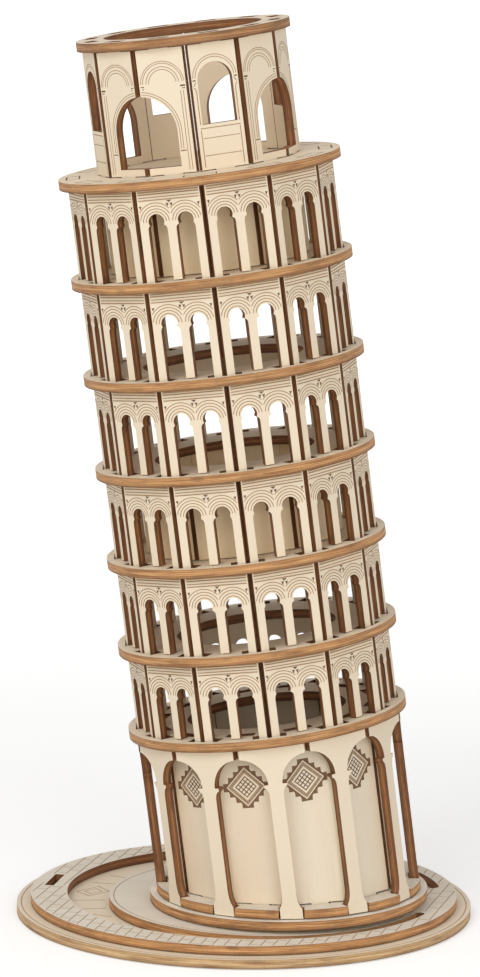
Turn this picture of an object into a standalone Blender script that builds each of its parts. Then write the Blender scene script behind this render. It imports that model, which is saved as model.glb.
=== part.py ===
"""Leaning round tower: a souvenir kit of flat laser-cut plywood pieces, slotted together.

Every piece is one flat sheet thickness. Twelve-sided storeys of upright panels stand between
round floor plates, and the panels' legs and tabs pass into slots in the plates. The tower's
lean is made in the ground storey, whose panels are cut to different lengths.

Units: metres, +Z up. The origin is the middle of the underside of the base disc. The front of
the tower faces -Y, and it leans towards -X. Angles round the tower are measured from the front,
positive towards +X.
"""
import bmesh
import bpy
from math import acos, atan2, cos, hypot, pi, radians, sin, tan
from mathutils import Euler, Matrix, Vector

MM = 0.001

# Sheet and fit
PLY = 2.4 * MM                    # thickness of every piece
GAP = 0.25 * MM                   # clearance between pieces that seat on each other
SIDES = 12                        # panels round each storey

# Base and plinth
BASE_STEP = 3.7 * MM                         # base rim to paving rim
BASIN_CENTRE = (2.9 * MM, 0.4 * MM)          # outer arc of the crescent cut in the paving plate
BASIN_MARGIN = 6.8 * MM                      # paving's radius less that of the outer arc
BASIN_DEPTH = 7.7 * MM                       # outer arc's radius less that of the inner arc
BASIN_SHIFT = (3.7 * MM, -4.4 * MM)          # from the outer arc's centre to the inner arc's
PLINTH_APRON = 5.6 * MM                      # inner arc's radius less the plinth's
BASIN_FRONT_END = radians(334.0)             # where the crescent stops, seen from its outer centre
BASIN_BACK_END = radians(10.5)
DRAIN_BEARING = radians(169.5)               # narrow slot in the paving's outer strip
DRAIN_LENGTH = 12.2 * MM
DRAIN_WIDTH = 2.5 * MM
PLINTH_TILT = radians(1.2)                   # the plinth dips towards the lean
RIB_INSET = 10.7 * MM                        # plinth rim to the ends of the ribs under its middle
RIB_SPACING = 32.0 * MM

# Tower
LEAN = radians(7.5)
TURN = radians(2.4)                          # the storeys' turn about the tower's axis
TOWER_FOOT = (13.14 * MM, -8.2 * MM)         # where the tower's axis meets the table
FLOOR_RADIUS = 36.7 * MM                     # plinth disc and floor plates
GROUND_TOP = 56.8 * MM                       # along the axis, to the top of the first floor plate
GALLERY_COUNT = 6
GALLERY_PITCH = 22.5 * MM                    # first gallery, plate top to plate top
GALLERY_GROWTH = 0.7 * MM                    # each gallery is this much taller than the last
BELFRY_PITCH = 34.75 * MM
WELL_MARGIN = 5.0 * MM                       # drum corner to the rim of a plate's round well
TAB_DEPTH = 1.9 * MM                         # how far legs and tabs enter a floor plate

# Ground storey: twelve T-shaped columns with infill panels behind their joints
GROUND_INSET = 1.0 * MM                      # plate rim to the storey's outer corners
COLLAR_LIP = 0.5 * MM                        # column faces to the rim of the notched collar
ARCH_RADIUS = 7.4 * MM
ARCH_CROWN_DROP = 2.6 * MM                   # plate underside to the crown of the arch
ARCH_SPRING_DROP = 7.4 * MM                  # crown to springing
CAPITAL_LEDGE = 1.1 * MM
CAPITAL_HEIGHT = 3.3 * MM
FOOT_WIDTH = 5.8 * MM
FOOT_FLARE = 4.0 * MM
INFILL_SETBACK = 5.1 * MM                    # storey's corners to the infill ring's corners
INFILL_TAB = 4.6 * MM                        # tab through the collar
INFILL_TOP_TAB = 7.0 * MM                    # tab into the first floor plate

# Galleries: panels of two arches on three slim columns
GALLERY_INSET = 2.1 * MM                     # plate rim to the gallery's outer corners
BAY_CENTRE = 3.85 * MM                       # panel middle to the middle of each arch
BAY_RADIUS = 2.1 * MM
BAY_SPRING_DROP = 8.4 * MM                   # plate underside to the springing
BAY_CAPITAL = 1.8 * MM
SHAFT_WIDTH = 2.3 * MM
SIDE_SHAFT_INNER = 6.2 * MM                  # panel middle to the inner edge of a side column
LEG_SLOT_SPARE = 1.5 * MM                    # a slot's reach beyond the side leg in it
DRUM_SETBACK = 8.6 * MM                      # gallery's corners to those of a plain inner drum
DRUM_GALLERIES = (3, 6)
JOIN = 0.12 * MM                             # how far neighbouring panels run into each other

# Belfry
BELFRY_INSET = 10.1 * MM                     # plate rim to the belfry's outer corners
ROOF_OVERHANG = 1.1 * MM                     # roof ring's rim beyond the belfry's corners
ROOF_WELL_MARGIN = 6.1 * MM                  # belfry's corners to the rim of the roof's opening
PORTAL_RADIUS = 9.3 * MM
PORTAL_SILL = 2.0 * MM
PORTAL_SPRING = 11.1 * MM
WINDOW_WIDTH = 9.2 * MM
WINDOW_SILL = 11.7 * MM
WINDOW_SPRING = 22.7 * MM
BELFRY_TAB = 5.0 * MM

# Facets
DISC_SEGMENTS = 72
FLOOR_SEGMENTS = 48
WELL_SEGMENTS = 24
SMALL_ARC_SEGMENTS = 4

WELD = 0.001 * MM
SHARP = radians(35.0)                        # edges flatter than this are shaded smooth
GUIDE_SIZE = 10 * MM                         # how large the guide empties are drawn

# Worked out from the sizes above
STEP = 2 * pi / SIDES
HALF = STEP / 2
BASIN_INNER_RADIUS = FLOOR_RADIUS + PLINTH_APRON
BASIN_OUTER_RADIUS = BASIN_INNER_RADIUS + BASIN_DEPTH
PAVING_RADIUS = BASIN_OUTER_RADIUS + BASIN_MARGIN
BASE_RADIUS = PAVING_RADIUS + BASE_STEP
RIB_LENGTH = 2 * (FLOOR_RADIUS - RIB_INSET)
GROUND_CORNER = FLOOR_RADIUS - GROUND_INSET
INFILL_CORNER = GROUND_CORNER - INFILL_SETBACK
GALLERY_CORNER = FLOOR_RADIUS - GALLERY_INSET
DRUM_CORNER = GALLERY_CORNER - DRUM_SETBACK
BELFRY_CORNER = FLOOR_RADIUS - BELFRY_INSET
COLLAR_RADIUS = GROUND_CORNER * cos(HALF) + COLLAR_LIP

FACE = (0.88, 0.71, 0.51, 1.0)               # pale veneer
INNER_FACE = (0.58, 0.43, 0.27, 1.0)         # veneer in the shade of the tower
ROUGHNESS = 0.62


# ---------------------------------------------------------------- flat outlines

def arc(centre, radius, start, end, segments):
    """Points of an arc, both ends included."""
    points = []
    for i in range(segments + 1):
        angle = start + (end - start) * i / segments
        points.append((centre[0] + radius * cos(angle), centre[1] + radius * sin(angle)))
    return points


def ring(radius, segments, centre=(0.0, 0.0)):
    """Points of a full circle."""
    return arc(centre, radius, 0.0, 2 * pi, segments)[:-1]


def box(x0, x1, y0, y1):
    return [(x0, y0), (x1, y0), (x1, y1), (x0, y1)]


def turned(points, angle, shift=(0.0, 0.0)):
    """Points turned about the origin, then shifted."""
    c, s = cos(angle), sin(angle)
    return [(c * x - s * y + shift[0], s * x + c * y + shift[1]) for x, y in points]


def mirrored(right_half):
    """A symmetric outline from its right half, listed from the top middle down."""
    return right_half + [(-x, y) for x, y in reversed(right_half)]


def azimuth_frame(points, azimuth):
    """Move points given as (tangential, radial) from the panel frame to the plate's XY plane."""
    return turned([(t, -r) for t, r in points], azimuth)


def corner_to_face(corner_radius):
    """Distance from the axis to the outer face of a panel."""
    return corner_radius * cos(HALF)


def panel_width(corner_radius, clearance):
    """Width at which neighbouring panels meet at their inner corners, less a clearance."""
    return 2 * (corner_to_face(corner_radius) - PLY) * tan(HALF) - clearance


# ---------------------------------------------------------------- scene helpers

def clear_scene():
    for obj in list(bpy.data.objects):
        bpy.data.objects.remove(obj, do_unlink=True)


def new_collection(name):
    collection = bpy.data.collections.new(name)
    bpy.context.scene.collection.children.link(collection)
    return collection


def new_empty(name, matrix, collection):
    empty = bpy.data.objects.new(name, None)
    empty.matrix_world = matrix
    empty.empty_display_size = GUIDE_SIZE
    collection.objects.link(empty)
    return empty


def plywood(name, colour):
    material = bpy.data.materials.new(name)
    material.use_nodes = True
    shader = material.node_tree.nodes["Principled BSDF"]
    shader.inputs["Base Color"].default_value = colour
    shader.inputs["Roughness"].default_value = ROUGHNESS
    shader.inputs["Metallic"].default_value = 0.0
    return material


def sheet_curve(name, outlines):
    """A flat filled curve, one sheet thick; outlines inside the first one are holes."""
    curve = bpy.data.curves.new(name, "CURVE")
    curve.dimensions = "2D"
    curve.fill_mode = "BOTH"
    curve.extrude = PLY / 2
    for points in outlines:
        spline = curve.splines.new("POLY")
        spline.points.add(len(points) - 1)
        for point, (x, y) in zip(spline.points, points):
            point.co = (x, y, 0.0, 1.0)
        spline.use_cyclic_u = True
    return curve


def sheet_mesh(name, outlines):
    """The same sheet as a welded mesh, its rounded edges shaded smooth."""
    blank = bpy.data.objects.new(name + "_blank", sheet_curve(name + "_blank", outlines))
    bpy.context.scene.collection.objects.link(blank)
    bpy.context.view_layer.update()
    evaluated = blank.evaluated_get(bpy.context.evaluated_depsgraph_get())
    mesh = bpy.data.meshes.new_from_object(evaluated)
    mesh.name = name
    bpy.data.objects.remove(blank, do_unlink=True)
    work = bmesh.new()
    work.from_mesh(mesh)
    bmesh.ops.remove_doubles(work, verts=work.verts, dist=WELD)
    bmesh.ops.recalc_face_normals(work, faces=work.faces)
    work.to_mesh(mesh)
    work.free()
    mesh.shade_smooth()
    mesh.set_sharp_from_angle(angle=SHARP)
    return mesh


def place(name, data, colour, parent, matrix, collection):
    """Put one sheet in the scene under its parent empty, with its own material."""
    obj = bpy.data.objects.new(name, data)
    obj.parent = parent
    obj.matrix_local = matrix
    material = plywood(name + "_ply", colour)
    if not data.materials:
        data.materials.append(material)
    obj.material_slots[0].link = "OBJECT"
    obj.material_slots[0].material = material
    collection.objects.link(obj)
    return obj


def lay_flat(name, outlines, height, parent, collection):
    """A sheet lying square to its parent's Z, its underside at the given height."""
    matrix = Matrix.Translation((0.0, 0.0, height + PLY / 2))
    return place(name, sheet_mesh(name, outlines), FACE, parent, matrix, collection)


def panel_matrix(azimuth, face_distance, height):
    """An upright panel's place: outer face at face_distance from the axis, y = 0 at height."""
    middle = face_distance - PLY / 2
    location = (sin(azimuth) * middle, -cos(azimuth) * middle, height)
    return Matrix.LocRotScale(location, Euler((pi / 2, 0.0, azimuth)), None)


def stand_up(name, outlines, azimuth, corner_radius, height, parent, collection, colour=FACE):
    """One upright panel of a storey whose outer corners lie at corner_radius."""
    matrix = panel_matrix(azimuth, corner_to_face(corner_radius), height)
    return place(name, sheet_curve(name, outlines), colour, parent, matrix, collection)


# ---------------------------------------------------------------- frames

def tower_matrix():
    foot = Matrix.Translation((TOWER_FOOT[0], TOWER_FOOT[1], 0.0))
    return foot @ Matrix.Rotation(-LEAN, 4, "Y") @ Matrix.Rotation(TURN, 4, "Z")


def paving_top():
    return 2 * PLY + GAP


def plinth_matrix():
    """The plinth disc's underside: it rests on its low edge, centred under the tower."""
    z = paving_top() + GAP + FLOOR_RADIUS * sin(PLINTH_TILT)
    top = z + PLY * cos(PLINTH_TILT)
    x = TOWER_FOOT[0] - top * tan(LEAN) + PLY * sin(PLINTH_TILT)
    tilt = Matrix.Rotation(-PLINTH_TILT, 4, "Y")
    return Matrix.Translation((x, TOWER_FOOT[1], z)) @ tilt @ Matrix.Rotation(TURN, 4, "Z")


def plinth_height(x, y, level):
    """Height in the tower's frame, above (x, y), of the plane at a level above the plinth."""
    m = plinth_matrix().inverted() @ tower_matrix()
    return (level - m[2][0] * x - m[2][1] * y - m[2][3]) / m[2][2]


def storey_point(azimuth, offset, radius):
    """A point at a distance from the axis and a sideways offset, in the tower's X and Y."""
    return turned([(offset, -radius)], azimuth)[0]


def standing_height(azimuth, face_distance, offset, level):
    """Lowest height at which a panel clears that plane, at a sideways offset from its middle."""
    heights = []
    for radius in (face_distance, face_distance - PLY):
        x, y = storey_point(azimuth, offset, radius)
        heights.append(plinth_height(x, y, level))
    return max(heights)


# ---------------------------------------------------------------- base

def basin_outline():
    """The crescent opening: two arcs of unlike centres, joined by rounded ends."""
    steps = DISC_SEGMENTS // 2
    outer = arc(BASIN_CENTRE, BASIN_OUTER_RADIUS, BASIN_BACK_END, BASIN_FRONT_END, steps)
    cx = BASIN_CENTRE[0] + BASIN_SHIFT[0]
    cy = BASIN_CENTRE[1] + BASIN_SHIFT[1]
    front = atan2(outer[-1][1] - cy, outer[-1][0] - cx) + 2 * pi
    back = atan2(outer[0][1] - cy, outer[0][0] - cx)
    inner = arc((cx, cy), BASIN_INNER_RADIUS, front, back, steps)
    return outer + round_end(outer[-1], inner[0]) + inner + round_end(inner[-1], outer[0])


def round_end(start, end):
    """Half a circle bulging to the right of the way from start to end, without its end points."""
    middle = ((start[0] + end[0]) / 2, (start[1] + end[1]) / 2)
    radius = hypot(end[0] - start[0], end[1] - start[1]) / 2
    first = atan2(start[1] - middle[1], start[0] - middle[0])
    return arc(middle, radius, first, first + pi, SMALL_ARC_SEGMENTS)[1:-1]


def drain_outline():
    """A slot along the outer strip, midway between the crescent and the paving's rim."""
    slot = box(-DRAIN_LENGTH / 2, DRAIN_LENGTH / 2, -DRAIN_WIDTH / 2, DRAIN_WIDTH / 2)
    towards = (cos(DRAIN_BEARING), sin(DRAIN_BEARING))
    along = BASIN_CENTRE[0] * towards[0] + BASIN_CENTRE[1] * towards[1]
    distance = (along + BASIN_OUTER_RADIUS + PAVING_RADIUS) / 2
    centre = (distance * towards[0], distance * towards[1])
    return turned(slot, DRAIN_BEARING - pi / 2, centre)


def rib_positions():
    """Sideways places of the hidden ribs, in world Y."""
    return {"plinth_rib_front": TOWER_FOOT[1] - RIB_SPACING / 2,
            "plinth_rib_back": TOWER_FOOT[1] + RIB_SPACING / 2}


def make_base(collection, root):
    lay_flat("base_disc", [ring(BASE_RADIUS, DISC_SEGMENTS)], 0.0, root, collection)
    centre = plinth_matrix().translation.x
    reach = RIB_LENGTH / 2 + GAP
    slots = []
    for y in rib_positions().values():
        slots.append(box(centre - reach, centre + reach, y - PLY / 2 - GAP, y + PLY / 2 + GAP))
    outlines = [ring(PAVING_RADIUS, DISC_SEGMENTS), basin_outline(), drain_outline()] + slots
    lay_flat("paving_plate", outlines, PLY + GAP, root, collection)


def make_ribs(collection, root):
    """Two ribs stand on the base disc, pass through the paving plate and carry the plinth."""
    plinth = plinth_matrix()
    centre = plinth.translation.x
    foot = PLY + GAP
    outline = [(-RIB_LENGTH / 2, foot), (RIB_LENGTH / 2, foot)]
    for x in (RIB_LENGTH / 2, -RIB_LENGTH / 2):
        outline.append((x, plinth.translation.z + x * tan(PLINTH_TILT) - GAP))
    curve = sheet_curve("plinth_rib", [outline])
    for name, y in rib_positions().items():
        matrix = Matrix.Translation((centre, y, 0.0)) @ Matrix.Rotation(pi / 2, 4, "X")
        place(name, curve, INNER_FACE, root, matrix, collection)


def make_plinth(collection, plinth):
    lay_flat("plinth_disc", [ring(FLOOR_RADIUS, FLOOR_SEGMENTS)], 0.0, plinth, collection)
    outline = []
    slots = []
    for k in range(SIDES):
        outline += notch_points(k * STEP)
        outline += rim_points(k * STEP)
        slots.append(infill_slot((k + 0.5) * STEP))
    lay_flat("plinth_collar", [outline] + slots, PLY + GAP, plinth, collection)


def in_plinth_frame(azimuth, offset, radius, level):
    """Where a line of the tower meets a level of the plinth, as (tangential, radial)."""
    x, y = storey_point(azimuth, offset, radius)
    height = plinth_height(x, y, level)
    p = plinth_matrix().inverted() @ tower_matrix() @ Vector((x, y, height))
    return (p.x * cos(azimuth) + p.y * sin(azimuth), p.x * sin(azimuth) - p.y * cos(azimuth))


def footprint(azimuth, half_width, face_distance):
    """Bounds of a panel's foot where it passes through the collar, with clearance all round."""
    places = []
    for level in (PLY, 2 * PLY + 2 * GAP):
        for offset in (-half_width, half_width):
            for radius in (face_distance - PLY, face_distance):
                places.append(in_plinth_frame(azimuth, offset, radius, level))
    sideways = [p[0] for p in places]
    outward = [p[1] for p in places]
    return min(sideways) - GAP, max(sideways) + GAP, min(outward) - GAP, max(outward) + GAP


def notch_points(azimuth):
    """The notch that a column's foot stands in, open at the collar's rim."""
    left, right, inner, _ = footprint(azimuth, FOOT_WIDTH / 2, corner_to_face(GROUND_CORNER))
    points = []
    for offset, radius in ((left, None), (left, inner), (right, inner), (right, None)):
        if radius is None:
            radius = (COLLAR_RADIUS ** 2 - offset ** 2) ** 0.5
        points.append((offset, radius))
    return azimuth_frame(points, azimuth)


def rim_points(azimuth):
    """The collar's rim between this column's notch and the next, without its end points."""
    _, right, _, _ = footprint(azimuth, FOOT_WIDTH / 2, corner_to_face(GROUND_CORNER))
    left = footprint(azimuth + STEP, FOOT_WIDTH / 2, corner_to_face(GROUND_CORNER))[0]
    start = azimuth + atan2(right, COLLAR_RADIUS) - pi / 2
    end = azimuth + STEP + atan2(left, COLLAR_RADIUS) - pi / 2
    return arc((0.0, 0.0), COLLAR_RADIUS, start, end, SMALL_ARC_SEGMENTS)[1:-1]


def infill_slot(azimuth):
    left, right, inner, outer = footprint(azimuth, INFILL_TAB / 2, corner_to_face(INFILL_CORNER))
    return azimuth_frame([(left, inner), (right, inner), (right, outer), (left, outer)], azimuth)


# ---------------------------------------------------------------- ground storey

def column_outline(azimuth):
    """A T-shaped column: half an arch at each side, a capital, a shaft and a flared foot."""
    face = corner_to_face(GROUND_CORNER)
    top = GROUND_TOP - PLY - GAP
    half_width = panel_width(GROUND_CORNER, GAP) / 2
    joint = face * tan(HALF)
    shaft = joint - ARCH_RADIUS
    crown = GROUND_TOP - PLY - ARCH_CROWN_DROP
    spring = crown - ARCH_SPRING_DROP
    centre = (joint, crown - ARCH_RADIUS)
    first = pi - acos((joint - half_width) / ARCH_RADIUS)
    last = pi - (spring - centre[1]) / ARCH_RADIUS
    arch = arc(centre, ARCH_RADIUS, first, last, SMALL_ARC_SEGMENTS + 1)
    capital = [(shaft + CAPITAL_LEDGE, spring), (shaft + CAPITAL_LEDGE, spring - CAPITAL_HEIGHT * 0.3),
               (shaft, spring - CAPITAL_HEIGHT)]
    sides = []
    for side in (1, -1):
        foot = FOOT_WIDTH / 2
        floor = standing_height(azimuth, face, side * foot, PLY + GAP)
        collar = standing_height(azimuth, face, side * foot, 2 * PLY + 2 * GAP)
        leg = [(shaft, collar + FOOT_FLARE), (foot, collar), (foot, floor)]
        sides.append([(x * side, y) for x, y in [(half_width, top)] + arch + capital + leg])
    return sides[0] + sides[1][::-1]


def infill_outline(azimuth):
    """A plain panel that stands on the collar, with a tab through it and one into the plate above."""
    face = corner_to_face(INFILL_CORNER)
    half_width = panel_width(INFILL_CORNER, GAP) / 2
    top = GROUND_TOP - PLY - GAP
    tab = INFILL_TAB / 2
    disc_top = PLY + GAP
    collar_top = 2 * disc_top
    bottom = []
    for offset, level in ((-half_width, collar_top), (-tab, collar_top), (-tab, disc_top),
                          (tab, disc_top), (tab, collar_top), (half_width, collar_top)):
        bottom.append((offset, standing_height(azimuth, face, offset, level)))
    top_tab = INFILL_TOP_TAB / 2
    right = [(half_width, top), (top_tab, top), (top_tab, top + GAP + TAB_DEPTH)]
    return bottom + right + [(-x, y) for x, y in reversed(right)]


def make_ground_storey(collection, tower):
    for k in range(SIDES):
        azimuth = k * STEP
        name = "ground_column_%02d" % (k + 1)
        stand_up(name, [column_outline(azimuth)], azimuth, GROUND_CORNER, 0.0, tower, collection)
    for k in range(SIDES):
        azimuth = (k + 0.5) * STEP
        name = "ground_infill_%02d" % (k + 1)
        stand_up(name, [infill_outline(azimuth)], azimuth, INFILL_CORNER, 0.0, tower, collection)


# ---------------------------------------------------------------- floor plates

def floor_top(number):
    """Height along the axis of the top of floor plate 1 to 7."""
    pitches = [GALLERY_PITCH + i * GALLERY_GROWTH for i in range(number - 1)]
    return GROUND_TOP + sum(pitches)


def leg_slot(azimuth):
    """One slot at each joint takes the side legs of the two panels that meet there."""
    face = corner_to_face(GALLERY_CORNER)
    reach = []
    for offset in (SIDE_SHAFT_INNER - LEG_SLOT_SPARE, arcade_width() / 2):
        for radius in (face - PLY, face):
            reach.append(storey_point(-HALF, offset, radius))
    wide = max(abs(p[0]) for p in reach) + GAP
    inner = min(-p[1] for p in reach) - GAP
    outer = max(-p[1] for p in reach) + GAP
    return azimuth_frame(box(-wide, wide, inner, outer), azimuth)


def tab_slot(azimuth, corner_radius, tab_width):
    """The slot at a panel's middle that takes its tab."""
    face = corner_to_face(corner_radius)
    half = tab_width / 2 + GAP
    return azimuth_frame(box(-half, half, face - PLY - GAP, face + GAP), azimuth)


def make_floors(collection, tower):
    well = ring(DRUM_CORNER - WELL_MARGIN, WELL_SEGMENTS)
    leg_slots = [leg_slot(k * STEP) for k in range(SIDES)]
    middles = [(k + 0.5) * STEP for k in range(SIDES)]
    infill_slots = [tab_slot(azimuth, INFILL_CORNER, INFILL_TOP_TAB) for azimuth in middles]
    belfry_slots = [tab_slot(azimuth, BELFRY_CORNER, BELFRY_TAB) for azimuth in middles]
    openings = {number: [well] + leg_slots for number in range(1, GALLERY_COUNT + 1)}
    openings[1] = openings[1] + infill_slots
    openings[GALLERY_COUNT + 1] = belfry_slots
    for number, holes in openings.items():
        outlines = [ring(FLOOR_RADIUS, FLOOR_SEGMENTS)] + holes
        lay_flat("floor_plate_%d" % number, outlines, floor_top(number) - PLY, tower, collection)
    opening = ring(BELFRY_CORNER - ROOF_WELL_MARGIN, WELL_SEGMENTS)
    outlines = [ring(BELFRY_CORNER + ROOF_OVERHANG, FLOOR_SEGMENTS), opening] + belfry_slots
    roof = floor_top(GALLERY_COUNT + 1) + BELFRY_PITCH
    lay_flat("roof_ring", outlines, roof - PLY, tower, collection)


# ---------------------------------------------------------------- galleries

def arcade_width():
    return panel_width(GALLERY_CORNER, -JOIN)


def arcade_outline(height):
    """Two arches on three columns; y = 0 is the floor, and the side legs enter its slots."""
    spring = height - BAY_SPRING_DROP
    shaft_top = spring - BAY_CAPITAL
    half_width = arcade_width() / 2
    arch = arc((BAY_CENTRE, spring), BAY_RADIUS, 0.0, pi, SMALL_ARC_SEGMENTS)
    right = [(half_width, height - GAP), (half_width, -TAB_DEPTH), (SIDE_SHAFT_INNER, -TAB_DEPTH)]
    right += [(SIDE_SHAFT_INNER, shaft_top)] + arch
    right += [(SHAFT_WIDTH / 2, shaft_top), (SHAFT_WIDTH / 2, GAP)]
    return mirrored(right)


def every_other_panel(name, panel, first, corner_radius, height):
    """One mesh of six separate panels: every second one round the ring, from the first."""
    group = bmesh.new()
    for k in range(first, SIDES, 2):
        copy = panel.copy()
        copy.transform(panel_matrix((k + 0.5) * STEP, corner_to_face(corner_radius), height))
        group.from_mesh(copy)
        bpy.data.meshes.remove(copy)
    mesh = bpy.data.meshes.new(name)
    group.to_mesh(mesh)
    group.free()
    return mesh


def panel_ring(name, outline, corner_radius, height, tower, collection, colour):
    """Twelve panels joined at their inner corners into one ring, as the kit holds them."""
    panel = sheet_mesh(name + "_panel", [outline])
    even = every_other_panel(name, panel, 0, corner_radius, height)
    odd = every_other_panel(name + "_odd", panel, 1, corner_radius, height)
    joined = place(name, even, colour, tower, Matrix.Identity(4), collection)
    cutters = bpy.data.collections["tower_cutters"]
    odd = place(name + "_odd_panels", odd, colour, tower, Matrix.Identity(4), cutters)
    odd.hide_render = True
    odd.display_type = "WIRE"
    union = joined.modifiers.new("join_panels", "BOOLEAN")
    union.operation = "UNION"
    union.solver = "EXACT"
    union.object = odd
    return joined


def make_galleries(collection, tower):
    for number in range(1, GALLERY_COUNT + 1):
        floor = floor_top(number)
        height = floor_top(number + 1) - PLY - floor
        name = "gallery_arcade_%d" % number
        panel_ring(name, arcade_outline(height), GALLERY_CORNER, floor, tower, collection, FACE)
        if number in DRUM_GALLERIES:
            width = panel_width(DRUM_CORNER, -JOIN)
            outline = box(-width / 2, width / 2, GAP, height - GAP)
            panel_ring("inner_drum_%d" % number, outline, DRUM_CORNER, floor, tower, collection, INNER_FACE)


# ---------------------------------------------------------------- belfry

def tabbed(left_side, right_side, height):
    """A belfry panel's outline, given its two sides, with a tab at the bottom and at the top."""
    tab = BELFRY_TAB / 2
    bottom = [(-tab, GAP), (-tab, -TAB_DEPTH), (tab, -TAB_DEPTH), (tab, GAP)]
    top = [(-x, height - y) for x, y in bottom]
    return bottom + right_side + top + left_side


def belfry_outlines(height):
    """Outlines of the three panel shapes: window, and the halves of the tall shared portal."""
    half = panel_width(BELFRY_CORNER, GAP) / 2
    joint = corner_to_face(BELFRY_CORNER) * tan(HALF)
    low, high = GAP, height - GAP
    plain_right = [(half, low), (half, high)]
    plain_left = [(-half, high), (-half, low)]
    jamb = joint - PORTAL_RADIUS
    last = acos((joint - half) / PORTAL_RADIUS)
    half_arch = arc((-joint, PORTAL_SPRING), PORTAL_RADIUS, 0.0, last, 2 * SMALL_ARC_SEGMENTS)
    below = [(-jamb, PORTAL_SILL), (-half, PORTAL_SILL), (-half, low)]
    portal_left = [(-half, high)] + half_arch[::-1] + below
    portal_right = [(-x, y) for x, y in reversed(portal_left)]
    window = [(WINDOW_WIDTH / 2, WINDOW_SILL)]
    window += arc((0.0, WINDOW_SPRING), WINDOW_WIDTH / 2, 0.0, pi, 2 * SMALL_ARC_SEGMENTS)
    window += [(-WINDOW_WIDTH / 2, WINDOW_SILL)]
    return {"window": [tabbed(plain_left, plain_right, height), window],
            "portal_left": [tabbed(plain_left, portal_right, height)],
            "portal_right": [tabbed(portal_left, plain_right, height)]}


def make_belfry(collection, tower):
    floor = floor_top(GALLERY_COUNT + 1)
    height = BELFRY_PITCH - PLY
    kinds = ("window", "portal_left", "portal_right")
    outlines = belfry_outlines(height)
    for k in range(SIDES):
        kind = kinds[k % 3]
        name = "belfry_%s_%d" % (kind, k // 3 + 1)
        azimuth = (k + 0.5) * STEP
        stand_up(name, outlines[kind], azimuth, BELFRY_CORNER, floor, tower, collection)


# ---------------------------------------------------------------- assembly

def main():
    clear_scene()
    parts = new_collection("leaning_tower_kit")
    guides = new_collection("tower_guides")
    new_collection("tower_cutters")
    root = new_empty("table_frame", Matrix.Identity(4), guides)
    plinth = new_empty("plinth_frame", plinth_matrix(), guides)
    tower = new_empty("tower_frame", tower_matrix(), guides)
    make_base(parts, root)
    make_ribs(parts, root)
    make_plinth(parts, plinth)
    make_ground_storey(parts, tower)
    make_floors(parts, tower)
    make_galleries(parts, tower)
    make_belfry(parts, tower)


main()
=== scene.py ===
"""A leaning round tower kit of laser-cut plywood: its finish, engraving and studio."""
import random
from math import acos, asin, atan2, ceil, cos, hypot, pi, radians, sin, sqrt, tan

import bmesh
import bpy
from bpy.props import FloatProperty, FloatVectorProperty, PointerProperty
from mathutils import Euler, Matrix, Vector


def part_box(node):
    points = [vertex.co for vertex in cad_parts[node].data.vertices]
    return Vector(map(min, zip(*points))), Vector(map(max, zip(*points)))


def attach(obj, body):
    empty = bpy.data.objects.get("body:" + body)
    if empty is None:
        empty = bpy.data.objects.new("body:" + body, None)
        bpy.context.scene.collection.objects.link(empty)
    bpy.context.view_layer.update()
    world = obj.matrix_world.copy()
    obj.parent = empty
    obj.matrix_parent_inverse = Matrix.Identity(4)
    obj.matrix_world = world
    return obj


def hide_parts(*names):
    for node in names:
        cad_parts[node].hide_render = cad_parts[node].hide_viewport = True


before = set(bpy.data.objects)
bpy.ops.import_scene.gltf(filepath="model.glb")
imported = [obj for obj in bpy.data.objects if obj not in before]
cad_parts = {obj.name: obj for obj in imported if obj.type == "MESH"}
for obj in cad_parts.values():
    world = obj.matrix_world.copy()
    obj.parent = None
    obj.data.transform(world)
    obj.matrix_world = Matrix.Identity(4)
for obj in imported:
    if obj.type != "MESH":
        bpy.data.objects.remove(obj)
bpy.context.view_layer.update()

bl_info = {
    "name": "Leaning Tower Kit",
    "version": (1, 0, 0),
    "blender": (4, 5, 0),
    "location": "3D View > Sidebar > Tower Kit",
    "description": "Dresses a slotted plywood tower model with veneer, scorched edges and engraving",
    "category": "Object",
}

MM = 0.001
SIDES = 12
STEP = 2 * pi / SIDES
HALF = STEP / 2


def corner(node, axis, side):
    """One coordinate of a node's box at rest: side 0 is its low end, side 1 its high end."""
    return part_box(node)[side][axis]


# ---------------------------------------------------------------- sizes and colours

def length(name, description, millimetres):
    return FloatProperty(name=name, description=description, default=millimetres * MM,
                         unit="LENGTH", precision=5)


def angle(name, description, degrees):
    return FloatProperty(name=name, description=description, default=radians(degrees),
                         unit="ROTATION")


def colour(name, description, rgb):
    return FloatVectorProperty(name=name, description=description, default=rgb, size=3,
                               subtype="COLOR", min=0.0, max=1.0)


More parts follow.
